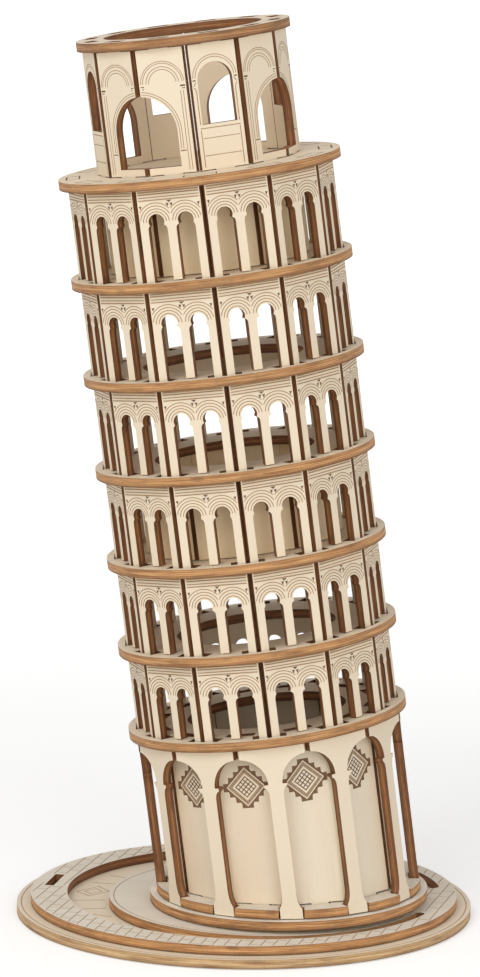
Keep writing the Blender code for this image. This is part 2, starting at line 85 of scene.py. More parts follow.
class TowerSizes(bpy.types.PropertyGroup):
    """Sizes that the finish shares with the solids under it."""
    gap: length("Gap", "Clearance between pieces that seat on each other", 0.25)
    basin_x: length("Basin X", "Outer arc of the crescent, sideways", 2.9)
    basin_y: length("Basin Y", "Outer arc of the crescent, front to back", 0.4)
    basin_margin: length("Basin margin", "Paving radius less that of the outer arc", 6.8)
    basin_depth: length("Basin depth", "Outer arc's radius less that of the inner arc", 7.7)
    basin_shift_x: length("Basin shift X", "From the outer arc's centre to the inner's", 3.7)
    basin_shift_y: length("Basin shift Y", "From the outer arc's centre to the inner's", -4.4)
    basin_front: angle("Basin front end", "Where the crescent stops in front", 334.0)
    basin_back: angle("Basin back end", "Where the crescent stops behind", 10.5)
    drain_bearing: angle("Drain bearing", "Where the drain slot lies on the paving", 169.5)
    drain_length: length("Drain length", "Length of the drain slot", 12.2)
    drain_width: length("Drain width", "Width of the drain slot", 2.5)
    rib_inset: length("Rib inset", "Plinth rim to the ends of its ribs", 10.7)
    rib_spacing: length("Rib spacing", "Between the two ribs under the plinth", 32.0)
    plinth_tilt: angle("Plinth tilt", "How far the plinth dips towards the lean", 1.2)
    lean: angle("Lean", "Lean of the tower", 7.5)
    turn: angle("Turn", "The storeys' turn about the tower's axis", 2.4)
    foot_x: length("Foot X", "Where the tower's axis meets the table", 13.14)
    foot_y: length("Foot Y", "Where the tower's axis meets the table", -8.2)
    floor_radius: length("Floor radius", "Radius of the plinth and the floor plates", 36.7)
    ground_top: length("Ground top", "Along the axis to the top of the first floor plate", 56.8)
    gallery_pitch: length("Gallery pitch", "First gallery, plate top to plate top", 22.5)
    gallery_growth: length("Gallery growth", "Each gallery is this much taller than the last", 0.7)
    belfry_pitch: length("Belfry pitch", "Last floor plate's top to the roof's top", 34.75)
    well_radius: length("Well radius", "Round opening in each floor plate", 21.0)
    tab_depth: length("Tab depth", "How far legs and tabs enter a plate", 1.9)
    ground_inset: length("Ground inset", "Plate rim to the ground storey's corners", 1.0)
    collar_lip: length("Collar lip", "Column faces to the rim of the notched collar", 0.5)
    arch_radius: length("Arch radius", "Ground storey arches", 7.4)
    arch_crown: length("Arch crown", "Plate underside to the crown of an arch", 2.6)
    arch_spring: length("Arch springing", "Crown of the arch to its springing", 7.4)
    ledge: length("Ledge", "Capital's reach beyond the shaft", 1.1)
    capital: length("Capital", "Height of the columns' capitals", 3.3)
    foot_width: length("Foot width", "Width of a column's foot", 5.8)
    foot_flare: length("Foot flare", "Height of the flare above the foot", 4.0)
    infill_setback: length("Infill setback", "Storey's corners to the infill's corners", 5.1)
    infill_tab: length("Infill tab", "Width of the infill's tab in the collar", 4.6)
    infill_top_tab: length("Infill top tab", "Width of the infill's tab in the first plate", 7.0)
    gallery_inset: length("Gallery inset", "Plate rim to the gallery's corners", 2.1)
    bay_centre: length("Bay centre", "Panel middle to the middle of each arch", 3.85)
    bay_radius: length("Bay radius", "Radius of a gallery's arches", 2.1)
    bay_spring: length("Bay springing", "Plate underside to the springing", 8.4)
    bay_capital: length("Bay capital", "Height of the slim columns' capitals", 1.8)
    shaft_width: length("Shaft width", "Width of the middle column", 2.3)
    side_shaft: length("Side shaft", "Panel middle to the inner edge of a side column", 6.2)
    slot_spare: length("Slot spare", "A leg slot's reach beyond the leg in it", 1.5)
    drum_setback: length("Drum setback", "Gallery's corners to the drum's corners", 8.6)
    belfry_inset: length("Belfry inset", "Plate rim to the belfry's corners", 10.1)
    roof_overhang: length("Roof overhang", "Roof rim beyond the belfry's corners", 1.1)
    roof_margin: length("Roof margin", "Belfry's corners to the roof's opening", 6.1)
    portal_radius: length("Portal radius", "Arch of the tall portals", 9.3)
    portal_sill: length("Portal sill", "Height of the portals' sill", 2.0)
    portal_spring: length("Portal springing", "Height of the portals' springing", 11.1)
    window_width: length("Window width", "Width of the belfry's windows", 9.2)
    window_sill: length("Window sill", "Height of the windows' sill", 11.7)
    window_spring: length("Window springing", "Height of the windows' springing", 22.7)
    belfry_tab: length("Belfry tab", "Width of the belfry panels' tabs", 5.0)


class TowerEngraving(bpy.types.PropertyGroup):
    """Lines that the laser leaves on the faces."""
    line: length("Line width", "Width of an engraved line", 0.26)
    depth: length("Line depth", "Depth of an engraved line", 0.08)
    mark_depth: length("Mark depth", "Depth of a burnt mark", 0.24)
    rim_inset: length("Rim inset", "Rim to the circle engraved inside it", 1.2)
    brick_course: length("Brick course", "Between the courses of the paving", 3.0)
    brick_length: length("Brick length", "Between the cross joints of one course", 6.2)
    brick_turn: angle("Brick turn", "Courses' turn from straight back", -13.0)
    lozenge_width: length("Lozenge width", "Half width of the infills' ornament", 5.2)
    lozenge_height: length("Lozenge height", "Half height of the infills' ornament", 5.2)


class TowerColours(bpy.types.PropertyGroup):
    """Colours of the plywood, as the photograph's light shows them."""
    face: colour("Face veneer", "Outer veneer of the panels", (0.890, 0.742, 0.575))
    plate: colour("Plate veneer", "Veneer of the floor plates", (0.845, 0.700, 0.540))
    # Painted light: the infill veneer is the face veneer made lighter, standing in for the front light on
    # the recessed infills.
    infill: colour("Infill veneer", "Veneer of the ground storey's infills", (0.930, 0.790, 0.610))
    drum: colour("Drum veneer", "Veneer of the inner drums", (0.925, 0.735, 0.485))
    base: colour("Base veneer", "Veneer of the base disc", (0.730, 0.630, 0.520))
    paving: colour("Paving veneer", "Veneer of the paving and the plinth", (0.815, 0.745, 0.630))
    edge: colour("Cut edge", "Laser-cut edge of the plates", (0.480, 0.235, 0.088))
    roof_edge: colour("Roof edge", "Cut edge of the roof ring", (0.330, 0.158, 0.060))
    base_edge: colour("Base edge", "Cut edge of the base disc", (0.600, 0.370, 0.175))
    panel_edge: colour("Panel edge", "Cut edge of the upright panels", (0.205, 0.082, 0.027))
    scorch: colour("Scorched edge", "Darkest burn on the cut edges", (0.080, 0.028, 0.009))
    line: colour("Engraved line", "Bottom of the lightly engraved lines", (0.520, 0.325, 0.165))
    mark: colour("Burnt mark", "Bottom of the deeply burnt marks", (0.290, 0.162, 0.085))
    floor: colour("Studio floor", "Paper under the model", (0.900, 0.900, 0.900))


def sizes():
    return bpy.context.scene.tower_sizes


def engraving():
    return bpy.context.scene.tower_engraving


def colours():
    return bpy.context.scene.tower_colours


# ---------------------------------------------------------------- flat outlines

def arc(centre, radius, start, end, segments):
    """Points of an arc, both ends included."""
    points = []
    for i in range(segments + 1):
        turn = start + (end - start) * i / segments
        points.append((centre[0] + radius * cos(turn), centre[1] + radius * sin(turn)))
    return points


def circle(radius, segments):
    return arc((0.0, 0.0), radius, 0.0, 2 * pi, segments)[:-1]


def box(x0, x1, y0, y1):
    return [(x0, y0), (x1, y0), (x1, y1), (x0, y1)]


def turned(points, turn, shift=(0.0, 0.0)):
    c, s = cos(turn), sin(turn)
    return [(c * x - s * y + shift[0], s * x + c * y + shift[1]) for x, y in points]


def flipped(points):
    """The mirror image in x = 0, listed the other way round."""
    return [(-x, y) for x, y in reversed(points)]


def mirrored(right_half):
    """A symmetric outline from its right half, listed from the top middle down."""
    return right_half + flipped(right_half)


def scaled(points, centre, factor):
    cx, cy = centre
    return [(cx + (x - cx) * factor, cy + (y - cy) * factor) for x, y in points]


def smooth_bend(start, knee, end, segments=5):
    """A soft curve from start to end that leans towards the knee."""
    points = []
    for i in range(segments + 1):
        t = i / segments
        x = (1 - t) ** 2 * start[0] + 2 * t * (1 - t) * knee[0] + t * t * end[0]
        y = (1 - t) ** 2 * start[1] + 2 * t * (1 - t) * knee[1] + t * t * end[1]
        points.append((x, y))
    return points


def round_end(start, end, segments=8):
    """Half a circle bulging to the right of the way from start to end, without its end points."""
    middle = ((start[0] + end[0]) / 2, (start[1] + end[1]) / 2)
    radius = hypot(end[0] - start[0], end[1] - start[1]) / 2
    first = atan2(start[1] - middle[1], start[0] - middle[0])
    return arc(middle, radius, first, first + pi, segments)[1:-1]


def stroke(points, width):
    """The outline of an engraved line, straight or with bends."""
    ways = [(Vector(b) - Vector(a)).normalized() for a, b in zip(points, points[1:])]
    left, right = [], []
    for (x, y), into, out in zip(points, ways[:1] + ways, ways + ways[-1:]):
        way = (into + out).normalized()
        reach = width / 2 / max(way.dot(into), 0.5)
        left.append((x - way.y * reach, y + way.x * reach))
        right.append((x + way.y * reach, y - way.x * reach))
    return right + left[::-1]


def arc_stroke(centre, radius, start, end, width, segments=14):
    """The outline of an engraved arc."""
    return (arc(centre, radius + width / 2, start, end, segments)
            + arc(centre, radius - width / 2, end, start, segments))


def ring_stroke(radius, width, segments):
    """The two loops of an engraved circle."""
    return [circle(radius + width / 2, segments), circle(radius - width / 2, segments)]


def lozenge(half_width, half_height, centre):
    cx, cy = centre
    return [(cx + half_width, cy), (cx, cy + half_height), (cx - half_width, cy), (cx, cy - half_height)]


def runs(start, end, inside, step=0.2 * MM, shortest=0.6 * MM):
    """The stretches of a straight line that lie inside a region, found step by step."""
    reach = hypot(end[0] - start[0], end[1] - start[1])
    count = int(reach / step)
    found = []
    first = None
    for i in range(count + 1):
        t = i / count
        point = (start[0] + (end[0] - start[0]) * t, start[1] + (end[1] - start[1]) * t)
        if inside(point):
            last = point
            if first is None:
                first = point
        elif first is not None:
            found.append((first, last))
            first = None
    if first is not None:
        found.append((first, last))
    return [(a, b) for a, b in found if hypot(b[0] - a[0], b[1] - a[1]) > shortest]


# ---------------------------------------------------------------- sheets

FACE_SLOT, EDGE_SLOT, LINE_SLOT, MARK_SLOT, SOOTY_SLOT = range(5)
FLAT = 0.5                     # a face whose normal's z is beyond this lies flat
SHARP = radians(30.0)
PATCH = 4.0                    # how far from the middle, in metres, a sheet's patch of veneer may lie


def loop_edges(work, points, run):
    """One closed loop of edges; each point keeps how far along the loop it lies."""
    corners = []
    total = 0.0
    for i, (x, y) in enumerate(points):
        if i:
            total += hypot(x - points[i - 1][0], y - points[i - 1][1])
        vert = work.verts.new((x, y, 0.0))
        vert[run] = total
        corners.append(vert)
    return [work.edges.new((a, b)) for a, b in zip(corners, corners[1:] + corners[:1])]


def sink(work, edges, depth, wall_slot, floor_slot):
    """Draw loops down into the sheet and close them at the bottom."""
    made = bmesh.ops.extrude_edge_only(work, edges=edges)["geom"]
    lower = {g for g in made if isinstance(g, bmesh.types.BMVert)}
    bmesh.ops.translate(work, verts=list(lower), vec=(0.0, 0.0, -depth))
    for face in (g for g in made if isinstance(g, bmesh.types.BMFace)):
        face.material_index = wall_slot
    rim = [g for g in made if isinstance(g, bmesh.types.BMEdge) and set(g.verts) <= lower]
    filled = bmesh.ops.triangle_fill(work, use_beauty=True, edges=rim, normal=(0.0, 0.0, 1.0))
    for face in (g for g in filled["geom"] if isinstance(g, bmesh.types.BMFace)):
        face.material_index = floor_slot


def cut_sheet(outlines, lines=(), marks=(), sooty=None):
    """A sheet with its face at z = 0: the first outline, less the holes, with lines and marks sunk in.

    Where sooty(x, y) is true the cut edges are burnt darker."""
    e = engraving()
    work = bmesh.new()
    run = work.verts.layers.float.new("run")
    groups = []
    for loops, depth, wall, floor in ((outlines, sheet_thickness(), EDGE_SLOT, FACE_SLOT),
                                      (lines, e.depth, LINE_SLOT, LINE_SLOT),
                                      (marks, e.mark_depth, MARK_SLOT, MARK_SLOT)):
        edges = [edge for points in loops for edge in loop_edges(work, points, run)]
        groups.append((edges, depth, wall, floor))
    every = [edge for group in groups for edge in group[0]]
    bmesh.ops.triangle_fill(work, use_beauty=True, edges=every, normal=(0.0, 0.0, 1.0))
    for edges, depth, wall, floor in groups:
        if edges:
            sink(work, edges, depth, wall, floor)
    if not all(edge.is_manifold for edge in work.edges):
        raise RuntimeError("a sheet is open: one of its lines crosses another or the outline")
    bmesh.ops.recalc_face_normals(work, faces=work.faces)
    work.normal_update()
    if sooty:
        for face in (f for f in work.faces if f.material_index == EDGE_SLOT):
            middle = face.calc_center_median()
            if sooty(middle.x, middle.y):
                face.material_index = SOOTY_SLOT
    unwrap(work, run)
    mesh = bpy.data.meshes.new("sheet")
    work.to_mesh(mesh)
    work.free()
    return mesh


def unwrap(work, run):
    """Flat faces keep their own X and Y; cut edges take the way along the loop and the depth."""
    uv = work.loops.layers.uv.new("sheet")
    for face in work.faces:
        flat = abs(face.normal.z) > FLAT
        along = [loop.vert[run] for loop in face.loops]
        longest = max(edge.calc_length() for edge in face.edges)
        wraps = max(along) - min(along) > longest * 1.5
        for loop, way in zip(face.loops, along):
            if flat:
                loop[uv].uv = loop.vert.co.xy
            elif wraps and way < max(along) / 2:
                loop[uv].uv = (max(along) + longest, loop.vert.co.z)
            else:
                loop[uv].uv = (way, loop.vert.co.z)


def sheet_thickness():
    return corner("base_disc", 2, 1) - corner("base_disc", 2, 0)


def assemble(node, placed, kind, grain_turn=0.0):
    """A node's piece from sheets and their places; each sheet is cut from its own patch of veneer."""
    name = node + "_ply"
    draw = random.Random(name)
    work = bmesh.new()
    for mesh, place in placed:
        copy = mesh.copy()
        shift = Vector((draw.uniform(-PATCH, PATCH), draw.uniform(-PATCH, PATCH)))
        c, s = cos(grain_turn), sin(grain_turn)
        flat = [abs(p.normal.z) > FLAT for p in copy.polygons]
        layer = copy.uv_layers["sheet"].data
        for polygon, is_flat in zip(copy.polygons, flat):
            for index in polygon.loop_indices:
                x, y = layer[index].uv
                if is_flat:
                    layer[index].uv = (c * x - s * y + shift.x, s * x + c * y + shift.y)
                else:
                    layer[index].uv = (x + shift.x, y)
        copy.transform(place)
        work.from_mesh(copy)
        bpy.data.meshes.remove(copy)
    mesh = bpy.data.meshes.new(name)
    work.to_mesh(mesh)
    work.free()
    for finish in finish_set(kind):
        mesh.materials.append(finish)
    piece = bpy.data.objects.new(name, mesh)
    bpy.context.scene.collection.objects.link(piece)
    mesh.shade_smooth()
    mesh.set_sharp_from_angle(angle=SHARP)
    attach(piece, "root")
    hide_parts(node)


# ---------------------------------------------------------------- places

def tower_matrix():
    s = sizes()
    foot = Matrix.Translation((s.foot_x, s.foot_y, 0.0))
    return foot @ Matrix.Rotation(-s.lean, 4, "Y") @ Matrix.Rotation(s.turn, 4, "Z")


def plinth_matrix():
    """The plinth disc's underside, which rests on the paving at its low edge."""
    s = sizes()
    ply = sheet_thickness()
    z = corner("paving_plate", 2, 1) + s.gap + s.floor_radius * sin(s.plinth_tilt)
    top = z + ply * cos(s.plinth_tilt)
    x = s.foot_x - top * tan(s.lean) + ply * sin(s.plinth_tilt)
    tilt = Matrix.Rotation(-s.plinth_tilt, 4, "Y")
    return Matrix.Translation((x, s.foot_y, z)) @ tilt @ Matrix.Rotation(s.turn, 4, "Z")


def flat_place(base, top):
    """Where a sheet lies whose upper face is at a height in its own frame."""
    return base @ Matrix.Translation((0.0, 0.0, top))


def panel_place(azimuth, face, height):
    """Where an upright panel stands in the tower: its outer face at a distance from the axis."""
    location = (sin(azimuth) * face, -cos(azimuth) * face, height)
    return tower_matrix() @ Matrix.LocRotScale(location, Euler((pi / 2, 0.0, azimuth)), None)


def face_distance(inset):
    """Axis to the outer faces of a storey whose corners lie that far inside the plate's rim."""
    return (sizes().floor_radius - inset) * cos(HALF)


def half_panel(inset, clearance):
    """Half the width at which neighbouring panels meet at their inner corners."""
    return (face_distance(inset) - sheet_thickness()) * tan(HALF) - clearance / 2


def floor_top(number):
    s = sizes()
    return s.ground_top + sum(s.gallery_pitch + i * s.gallery_growth for i in range(number - 1))


def on_plate(points, azimuth):
    """(tangential, radial) points of a panel's frame in the plate's XY plane."""
    return turned([(t, -r) for t, r in points], azimuth)


def storey_point(azimuth, offset, radius):
    return on_plate([(offset, radius)], azimuth)[0]


def plinth_height(x, y, level):
    """Height in the tower's frame, above (x, y), of a level above the plinth's underside."""
    m = plinth_matrix().inverted() @ tower_matrix()
    return (level - m[2][0] * x - m[2][1] * y - m[2][3]) / m[2][2]


def standing_height(azimuth, face, offset, level):
    places = [storey_point(azimuth, offset, radius) for radius in (face, face - sheet_thickness())]
    return max(plinth_height(x, y, level) for x, y in places)


def in_plinth_frame(azimuth, offset, radius, level):
    x, y = storey_point(azimuth, offset, radius)
    p = plinth_matrix().inverted() @ tower_matrix() @ Vector((x, y, plinth_height(x, y, level)))
    return (p.x * cos(azimuth) + p.y * sin(azimuth), p.x * sin(azimuth) - p.y * cos(azimuth))


def footprint(azimuth, half_width, face):
    """Bounds of a panel's foot where it passes through the collar, with clearance all round."""
    s = sizes()
    ply = sheet_thickness()
    places = []
    for level in (ply, 2 * ply + 2 * s.gap):
        for offset in (-half_width, half_width):
            for radius in (face - ply, face):
                places.append(in_plinth_frame(azimuth, offset, radius, level))
    sideways = [p[0] for p in places]
    outward = [p[1] for p in places]
    return min(sideways) - s.gap, max(sideways) + s.gap, min(outward) - s.gap, max(outward) + s.gap


# ---------------------------------------------------------------- finishes

class Value:
    """A socket that takes part in arithmetic: each operation adds a Math node."""

    def __init__(self, finish, socket):
        self.finish = finish
        self.socket = socket

    def __add__(self, other):
        return self.finish.math("ADD", self, other)

    __radd__ = __add__

    def __sub__(self, other):
        return self.finish.math("SUBTRACT", self, other)

    def __rsub__(self, other):
        return self.finish.math("SUBTRACT", other, self)

    def __mul__(self, other):
        return self.finish.math("MULTIPLY", self, other)

    __rmul__ = __mul__

    def __truediv__(self, other):
        return self.finish.math("DIVIDE", self, other)


class Finish:
    """One procedural material, built from expressions."""

    def __init__(self, name):
        self.material = bpy.data.materials.new(name)
        self.material.use_nodes = True
        self.tree = self.material.node_tree
        self.shader = self.tree.nodes["Principled BSDF"]

    def node(self, kind, settings=None, values=None, output=0):
        """Add a node: its settings first, then the values or links of its inputs."""
        node = self.tree.nodes.new(kind)
        for key, value in (settings or {}).items():
            setattr(node, key, value)
        for key, value in (values or {}).items():
            self.feed(node.inputs[key], value)
        return Value(self, node.outputs[output])

    def feed(self, socket, value):
        if isinstance(value, Value):
            self.tree.links.new(value.socket, socket)
        elif isinstance(value, (tuple, list)) and socket.type == "RGBA":
            socket.default_value = (*value[:3], 1.0)
        else:
            socket.default_value = value

    def math(self, operation, a, b=0.0, clamp=False):
        return self.node("ShaderNodeMath", {"operation": operation, "use_clamp": clamp}, {0: a, 1: b})

    def mix(self, factor, a, b, blend="MIX"):
        """Mix two colours."""
        return self.node("ShaderNodeMix", {"data_type": "RGBA", "blend_type": blend},
                         {0: factor, 6: a, 7: b}, output=2)

    def step(self, value, low, high):
        """0 below low, 1 above high, smooth between them."""
        return self.node("ShaderNodeMapRange", {"interpolation_type": "SMOOTHSTEP"},
                         {0: value, 1: low, 2: high, 3: 0.0, 4: 1.0})

    def sheet(self, scale):
        """The piece's own sheet coordinates, in metres, stretched by a scale on each axis."""
        coordinates = self.node("ShaderNodeUVMap", {"uv_map": "sheet"})
        return self.node("ShaderNodeMapping", {}, {"Vector": coordinates, "Scale": scale})

    def noise(self, vector, scale, detail=2.0, roughness=0.5):
        return self.node("ShaderNodeTexNoise", {}, {"Vector": vector, "Scale": scale, "Detail": detail,
                                                    "Roughness": roughness})

    def set(self, **sockets):
        for name, value in sockets.items():
            self.feed(self.shader.inputs[name.replace("_", " ")], value)

    def bump(self, height, strength, distance):
        return self.node("ShaderNodeBump", {}, {"Strength": strength, "Distance": distance,
                                                "Height": height})


def veneer(name, rgb, figure=1.0):
    """Pale rotary-cut veneer: fine pores and soft figure along the sheet's own Y."""
    finish = Finish(name)
    fibres = finish.noise(finish.sheet((1900.0, 60.0, 1.0)), 1.0, 3.0, 0.6)
    pores = finish.noise(finish.sheet((5200.0, 330.0, 1.0)), 1.0, 1.0)
    figure_noise = finish.noise(finish.sheet((150.0, 16.0, 1.0)), 1.0, 2.0)
    sheet_tone = finish.noise(finish.sheet((3.0, 3.0, 1.0)), 1.0, 0.0)
    streak = finish.step(fibres, 0.52, 0.74) * (0.20 * figure)
    pore = finish.step(pores, 0.66, 0.76) * 0.20
    darker = tuple(c * k for c, k in zip(rgb, (0.80, 0.72, 0.60)))
    lighter = tuple(min(c * k, 0.93) for c, k in zip(rgb, (1.06, 1.07, 1.10)))
    ground = finish.mix(finish.step(figure_noise, 0.30, 0.70), lighter, rgb)
    ground = finish.mix(finish.step(sheet_tone, 0.40, 0.70) * 0.30, ground, darker)
    shown = finish.mix(streak, ground, darker)
    shown = finish.mix(pore, shown, tuple(c * 0.55 for c in darker))
    finish.set(Base_Color=shown, Roughness=0.60 + fibres * 0.14)
    finish.set(Normal=finish.bump(fibres * 0.7 - pores * 0.3, 0.20, 0.00008))
    return finish.material


def cut_edge(name, rgb, scorch, burn):
    """A laser-cut edge: plies and fibres along it, drifting burns, a few knots, scorched rims."""
    finish = Finish(name)
    ply = sheet_thickness()
    coordinates = finish.node("ShaderNodeUVMap", {"uv_map": "sheet"})
    depth = finish.node("ShaderNodeSeparateXYZ", {}, {"Vector": coordinates}, output=1) * (-1.0 / ply)
    middle = finish.math("ABSOLUTE", depth - 0.5)
    fibres = finish.noise(finish.sheet((70.0, 4200.0, 1.0)), 1.0, 3.0, 0.55)
    threads = finish.noise(finish.sheet((260.0, 9000.0, 1.0)), 1.0, 1.0)
    burns = finish.noise(finish.sheet((110.0, 420.0, 1.0)), 1.0, 3.0, 0.6)
    marks = finish.noise(finish.sheet((2400.0, 120.0, 1.0)), 1.0, 1.0)
    cells = finish.sheet((55.0, 150.0, 1.0))
    knots = finish.node("ShaderNodeTexVoronoi", {}, {"Vector": cells, "Scale": 1.0})
    core = finish.step(middle, 0.13, 0.19)
    glue = 1.0 - finish.step(finish.math("ABSOLUTE", middle - 0.17), 0.0, 0.04)
    rim = finish.step(middle, 0.38, 0.50)
    lower = finish.step(depth, 0.66, 1.0)
    light = tuple(min(c * k, 0.8) for c, k in zip(rgb, (1.30 + burn, 1.45 + burn, 1.60 + burn)))
    deep = tuple(c * k for c, k in zip(rgb, (0.55, 0.43, 0.32)))
    tone = finish.mix(core * (0.45 + 0.4 * burn), light, rgb)
    tone = finish.mix(finish.step(fibres, 0.42, 0.62) * 0.80, tone, deep)
    tone = finish.mix(finish.step(threads, 0.50, 0.72) * 0.40, tone, light)
    tone = finish.mix(finish.step(burns, 0.44, 0.74) * (0.35 + 0.35 * burn), tone, scorch)
    tone = finish.mix((1.0 - finish.step(knots, 0.06, 0.16)) * 0.45, tone, scorch)
    tone = finish.mix(finish.step(marks, 0.50, 0.80) * (0.08 + 0.15 * burn), tone, scorch)
    tone = finish.mix(glue * 0.35, tone, deep)
    tone = finish.mix(rim * (0.30 + 0.40 * burn), tone, scorch)
    tone = finish.mix(lower * 0.55, tone, scorch)
    finish.set(Base_Color=tone, Roughness=0.74 - burns * 0.16)
    finish.set(Normal=finish.bump(fibres * 0.5 + marks * 0.3 - glue * 0.3, 0.30, 0.00010))
    return finish.material


def engraved(name, rgb):
    """The browned bottom of an engraved line."""
    finish = Finish(name)
    burn = finish.noise(finish.sheet((900.0, 900.0, 1.0)), 1.0, 2.0)
    finish.set(Base_Color=finish.mix(burn, rgb, tuple(c * 0.70 for c in rgb)), Roughness=0.8)
    return finish.material


def hidden_wood(name, rgb, scorch):
    """Plain plywood for the ribs that the plinth hides."""
    finish = Finish(name)
    place = finish.node("ShaderNodeTexCoord", output=3)
    along = finish.node("ShaderNodeMapping", {}, {"Vector": place, "Scale": (60.0, 900.0, 900.0)})
    grain = finish.noise(along, 1.0)
    finish.set(Base_Color=finish.mix(finish.step(grain, 0.45, 0.75) * 0.5, rgb, scorch), Roughness=0.68)
    finish.set(Normal=finish.bump(grain, 0.2, 0.0001))
    return finish.material


def finish_set(kind):
    """The finishes of one kind of sheet, in the order of its slots."""
    c = colours()
    # The infills' colour carries painted light: it is the face veneer made lighter for the front light on
    # them.
    tints = {"face": (c.face, c.panel_edge, 0.8), "plate": (c.plate, c.edge, 0.2),
             "infill": (c.infill, c.panel_edge, 0.7), "drum": (c.drum, c.panel_edge, 0.8),
             "base": (c.base, c.base_edge, 0.0), "paving": (c.paving, c.edge, 0.35),
             "roof": (c.plate, c.roof_edge, 0.4)}
    rgb, edge, burn = tints[kind]
    makers = (("veneer", lambda n: veneer(n, tuple(rgb))),
              ("edge", lambda n: cut_edge(n, tuple(edge), tuple(c.scorch), burn)),
              ("line", lambda n: engraved(n, tuple(c.line))),
              ("mark", lambda n: engraved(n, tuple(c.mark))),
              ("sooty", lambda n: cut_edge(n, tuple(c.panel_edge), tuple(c.scorch), 0.6)))
    found = []
    for suffix, make in makers:
        name = "%s_%s" % (kind, suffix)
        found.append(bpy.data.materials.get(name) or make(name))
    return found


# ---------------------------------------------------------------- base

def basin_arcs():
    """Centres and radii of the crescent's outer and inner arcs."""
    s = sizes()
    radius = corner("paving_plate", 0, 1) - s.basin_margin
    inner_centre = (s.basin_x + s.basin_shift_x, s.basin_y + s.basin_shift_y)
    return (s.basin_x, s.basin_y), radius, inner_centre, radius - s.basin_depth


def basin_outline():
    s = sizes()
    centre, radius, inner_centre, inner_radius = basin_arcs()
    outer = arc(centre, radius, s.basin_back, s.basin_front, 160)
    cx, cy = inner_centre
    front = atan2(outer[-1][1] - cy, outer[-1][0] - cx) + 2 * pi
    back = atan2(outer[0][1] - cy, outer[0][0] - cx)
    inner = arc(inner_centre, inner_radius, front, back, 150)
    return outer + round_end(outer[-1], inner[0]) + inner + round_end(inner[-1], outer[0])


def drain_outline():
    s = sizes()
    slot = box(-s.drain_length / 2, s.drain_length / 2, -s.drain_width / 2, s.drain_width / 2)
    centre, basin_radius, _, _ = basin_arcs()
    towards = (cos(s.drain_bearing), sin(s.drain_bearing))
    along = centre[0] * towards[0] + centre[1] * towards[1]
    distance = (along + basin_radius + corner("paving_plate", 0, 1)) / 2
    place = (distance * towards[0], distance * towards[1])
    return turned(slot, s.drain_bearing - pi / 2, place)


def rib_slots():
    s = sizes()
    centre = plinth_matrix().translation.x
    reach = s.floor_radius - s.rib_inset + s.gap
    wide = sheet_thickness() / 2 + s.gap
    slots = []
    for side in (-1, 1):
        y = s.foot_y + side * s.rib_spacing / 2
        slots.append(box(centre - reach, centre + reach, y - wide, y + wide))
    return slots


BASIN_END_CLEAR = 0.06         # radians that engraving keeps from the crescent's ends
APRON_LINE_BACK = 0.10         # the same for the back end of the apron's circle
PAVING_MARGIN = 0.4 * MM       # plain strip left along every edge of the paving


def is_paved(margin):
    """Where bricks are engraved: the outer strip, and the side where the crescent stops."""
    s = sizes()
    centre, radius, inner_centre, inner_radius = basin_arcs()
    rim = corner("paving_plate", 0, 1)
    plinth = plinth_matrix().translation
    drain = drain_outline()
    low = [min(p[i] for p in drain) - margin for i in (0, 1)]
    high = [max(p[i] for p in drain) + margin for i in (0, 1)]
    plain = inner_radius - 2 * margin

    def inside(point):
        x, y = point
        if hypot(x, y) > rim - margin:
            return False
        if low[0] < x < high[0] and low[1] < y < high[1]:
            return False
        if hypot(x - plinth.x, y - plinth.y) < s.floor_radius - 3 * margin:
            return False
        from_outer = hypot(x - centre[0], y - centre[1])
        from_inner = hypot(x - inner_centre[0], y - inner_centre[1])
        bearing = atan2(y - centre[1], x - centre[0]) % (2 * pi)
        if bearing > s.basin_front + BASIN_END_CLEAR or bearing < s.basin_back - BASIN_END_CLEAR:
            return True
        return from_outer > radius + margin and from_inner > plain
    return inside


def paving_lines():
    """Courses of bricks, with staggered cross joints between them."""
    e = engraving()
    rim = corner("paving_plate", 0, 1)
    inside = is_paved(PAVING_MARGIN)
    along = (-sin(e.brick_turn), cos(e.brick_turn))
    across = (cos(e.brick_turn), sin(e.brick_turn))
    lines = []
    count = ceil(rim / e.brick_course)
    clear = e.line

    def spot(course, way):
        return (across[0] * course + along[0] * way, across[1] * course + along[1] * way)
    for row in range(-count, count + 1):
        course = row * e.brick_course
        for start, end in runs(spot(course, -rim), spot(course, rim), inside):
            lines.append(stroke([start, end], e.line))
        first = (row % 2) * e.brick_length / 2 - ceil(rim / e.brick_length) * e.brick_length
        for i in range(2 * ceil(rim / e.brick_length) + 1):
            way = first + i * e.brick_length
            start = spot(course + clear, way)
            end = spot(course + e.brick_course - clear, way)
            if all(inside(p) for p in (start, end, spot(course + e.brick_course / 2, way))):
                lines.append(stroke([start, end], e.line))
    return lines


def apron_line():
    """The circle engraved just inside the plain apron's edge, where the crescent runs."""
    s = sizes()
    e = engraving()
    _, _, inner_centre, inner_radius = basin_arcs()
    start = s.basin_back + APRON_LINE_BACK
    end = s.basin_front - BASIN_END_CLEAR
    return [arc_stroke(inner_centre, inner_radius - e.rim_inset, start, end, e.line, 150)]


# Ends of the paths and corners of the bed, in millimetres from the middle of the base
GARDEN_PATHS = (((-45.4, -2.2), (-37.0, -1.2)), ((-43.2, -11.2), (-36.2, -10.0)),
                ((-39.6, -16.4), (-34.4, -19.0)), ((-35.6, -26.6), (-31.6, -25.4)),
                ((-41.7, 17.7), (-34.6, 16.2)), ((-37.0, 25.4), (-31.5, 23.0)),
                ((-29.0, -33.8), (-26.0, -31.4)), ((-20.5, -39.4), (-18.6, -36.9)))
GARDEN_BED = ((-45.2, 7.7), (-39.4, 13.6), (-36.2, 8.3), (-41.4, 2.6))


def in_metres(points):
    return [(x * MM, y * MM) for x, y in points]


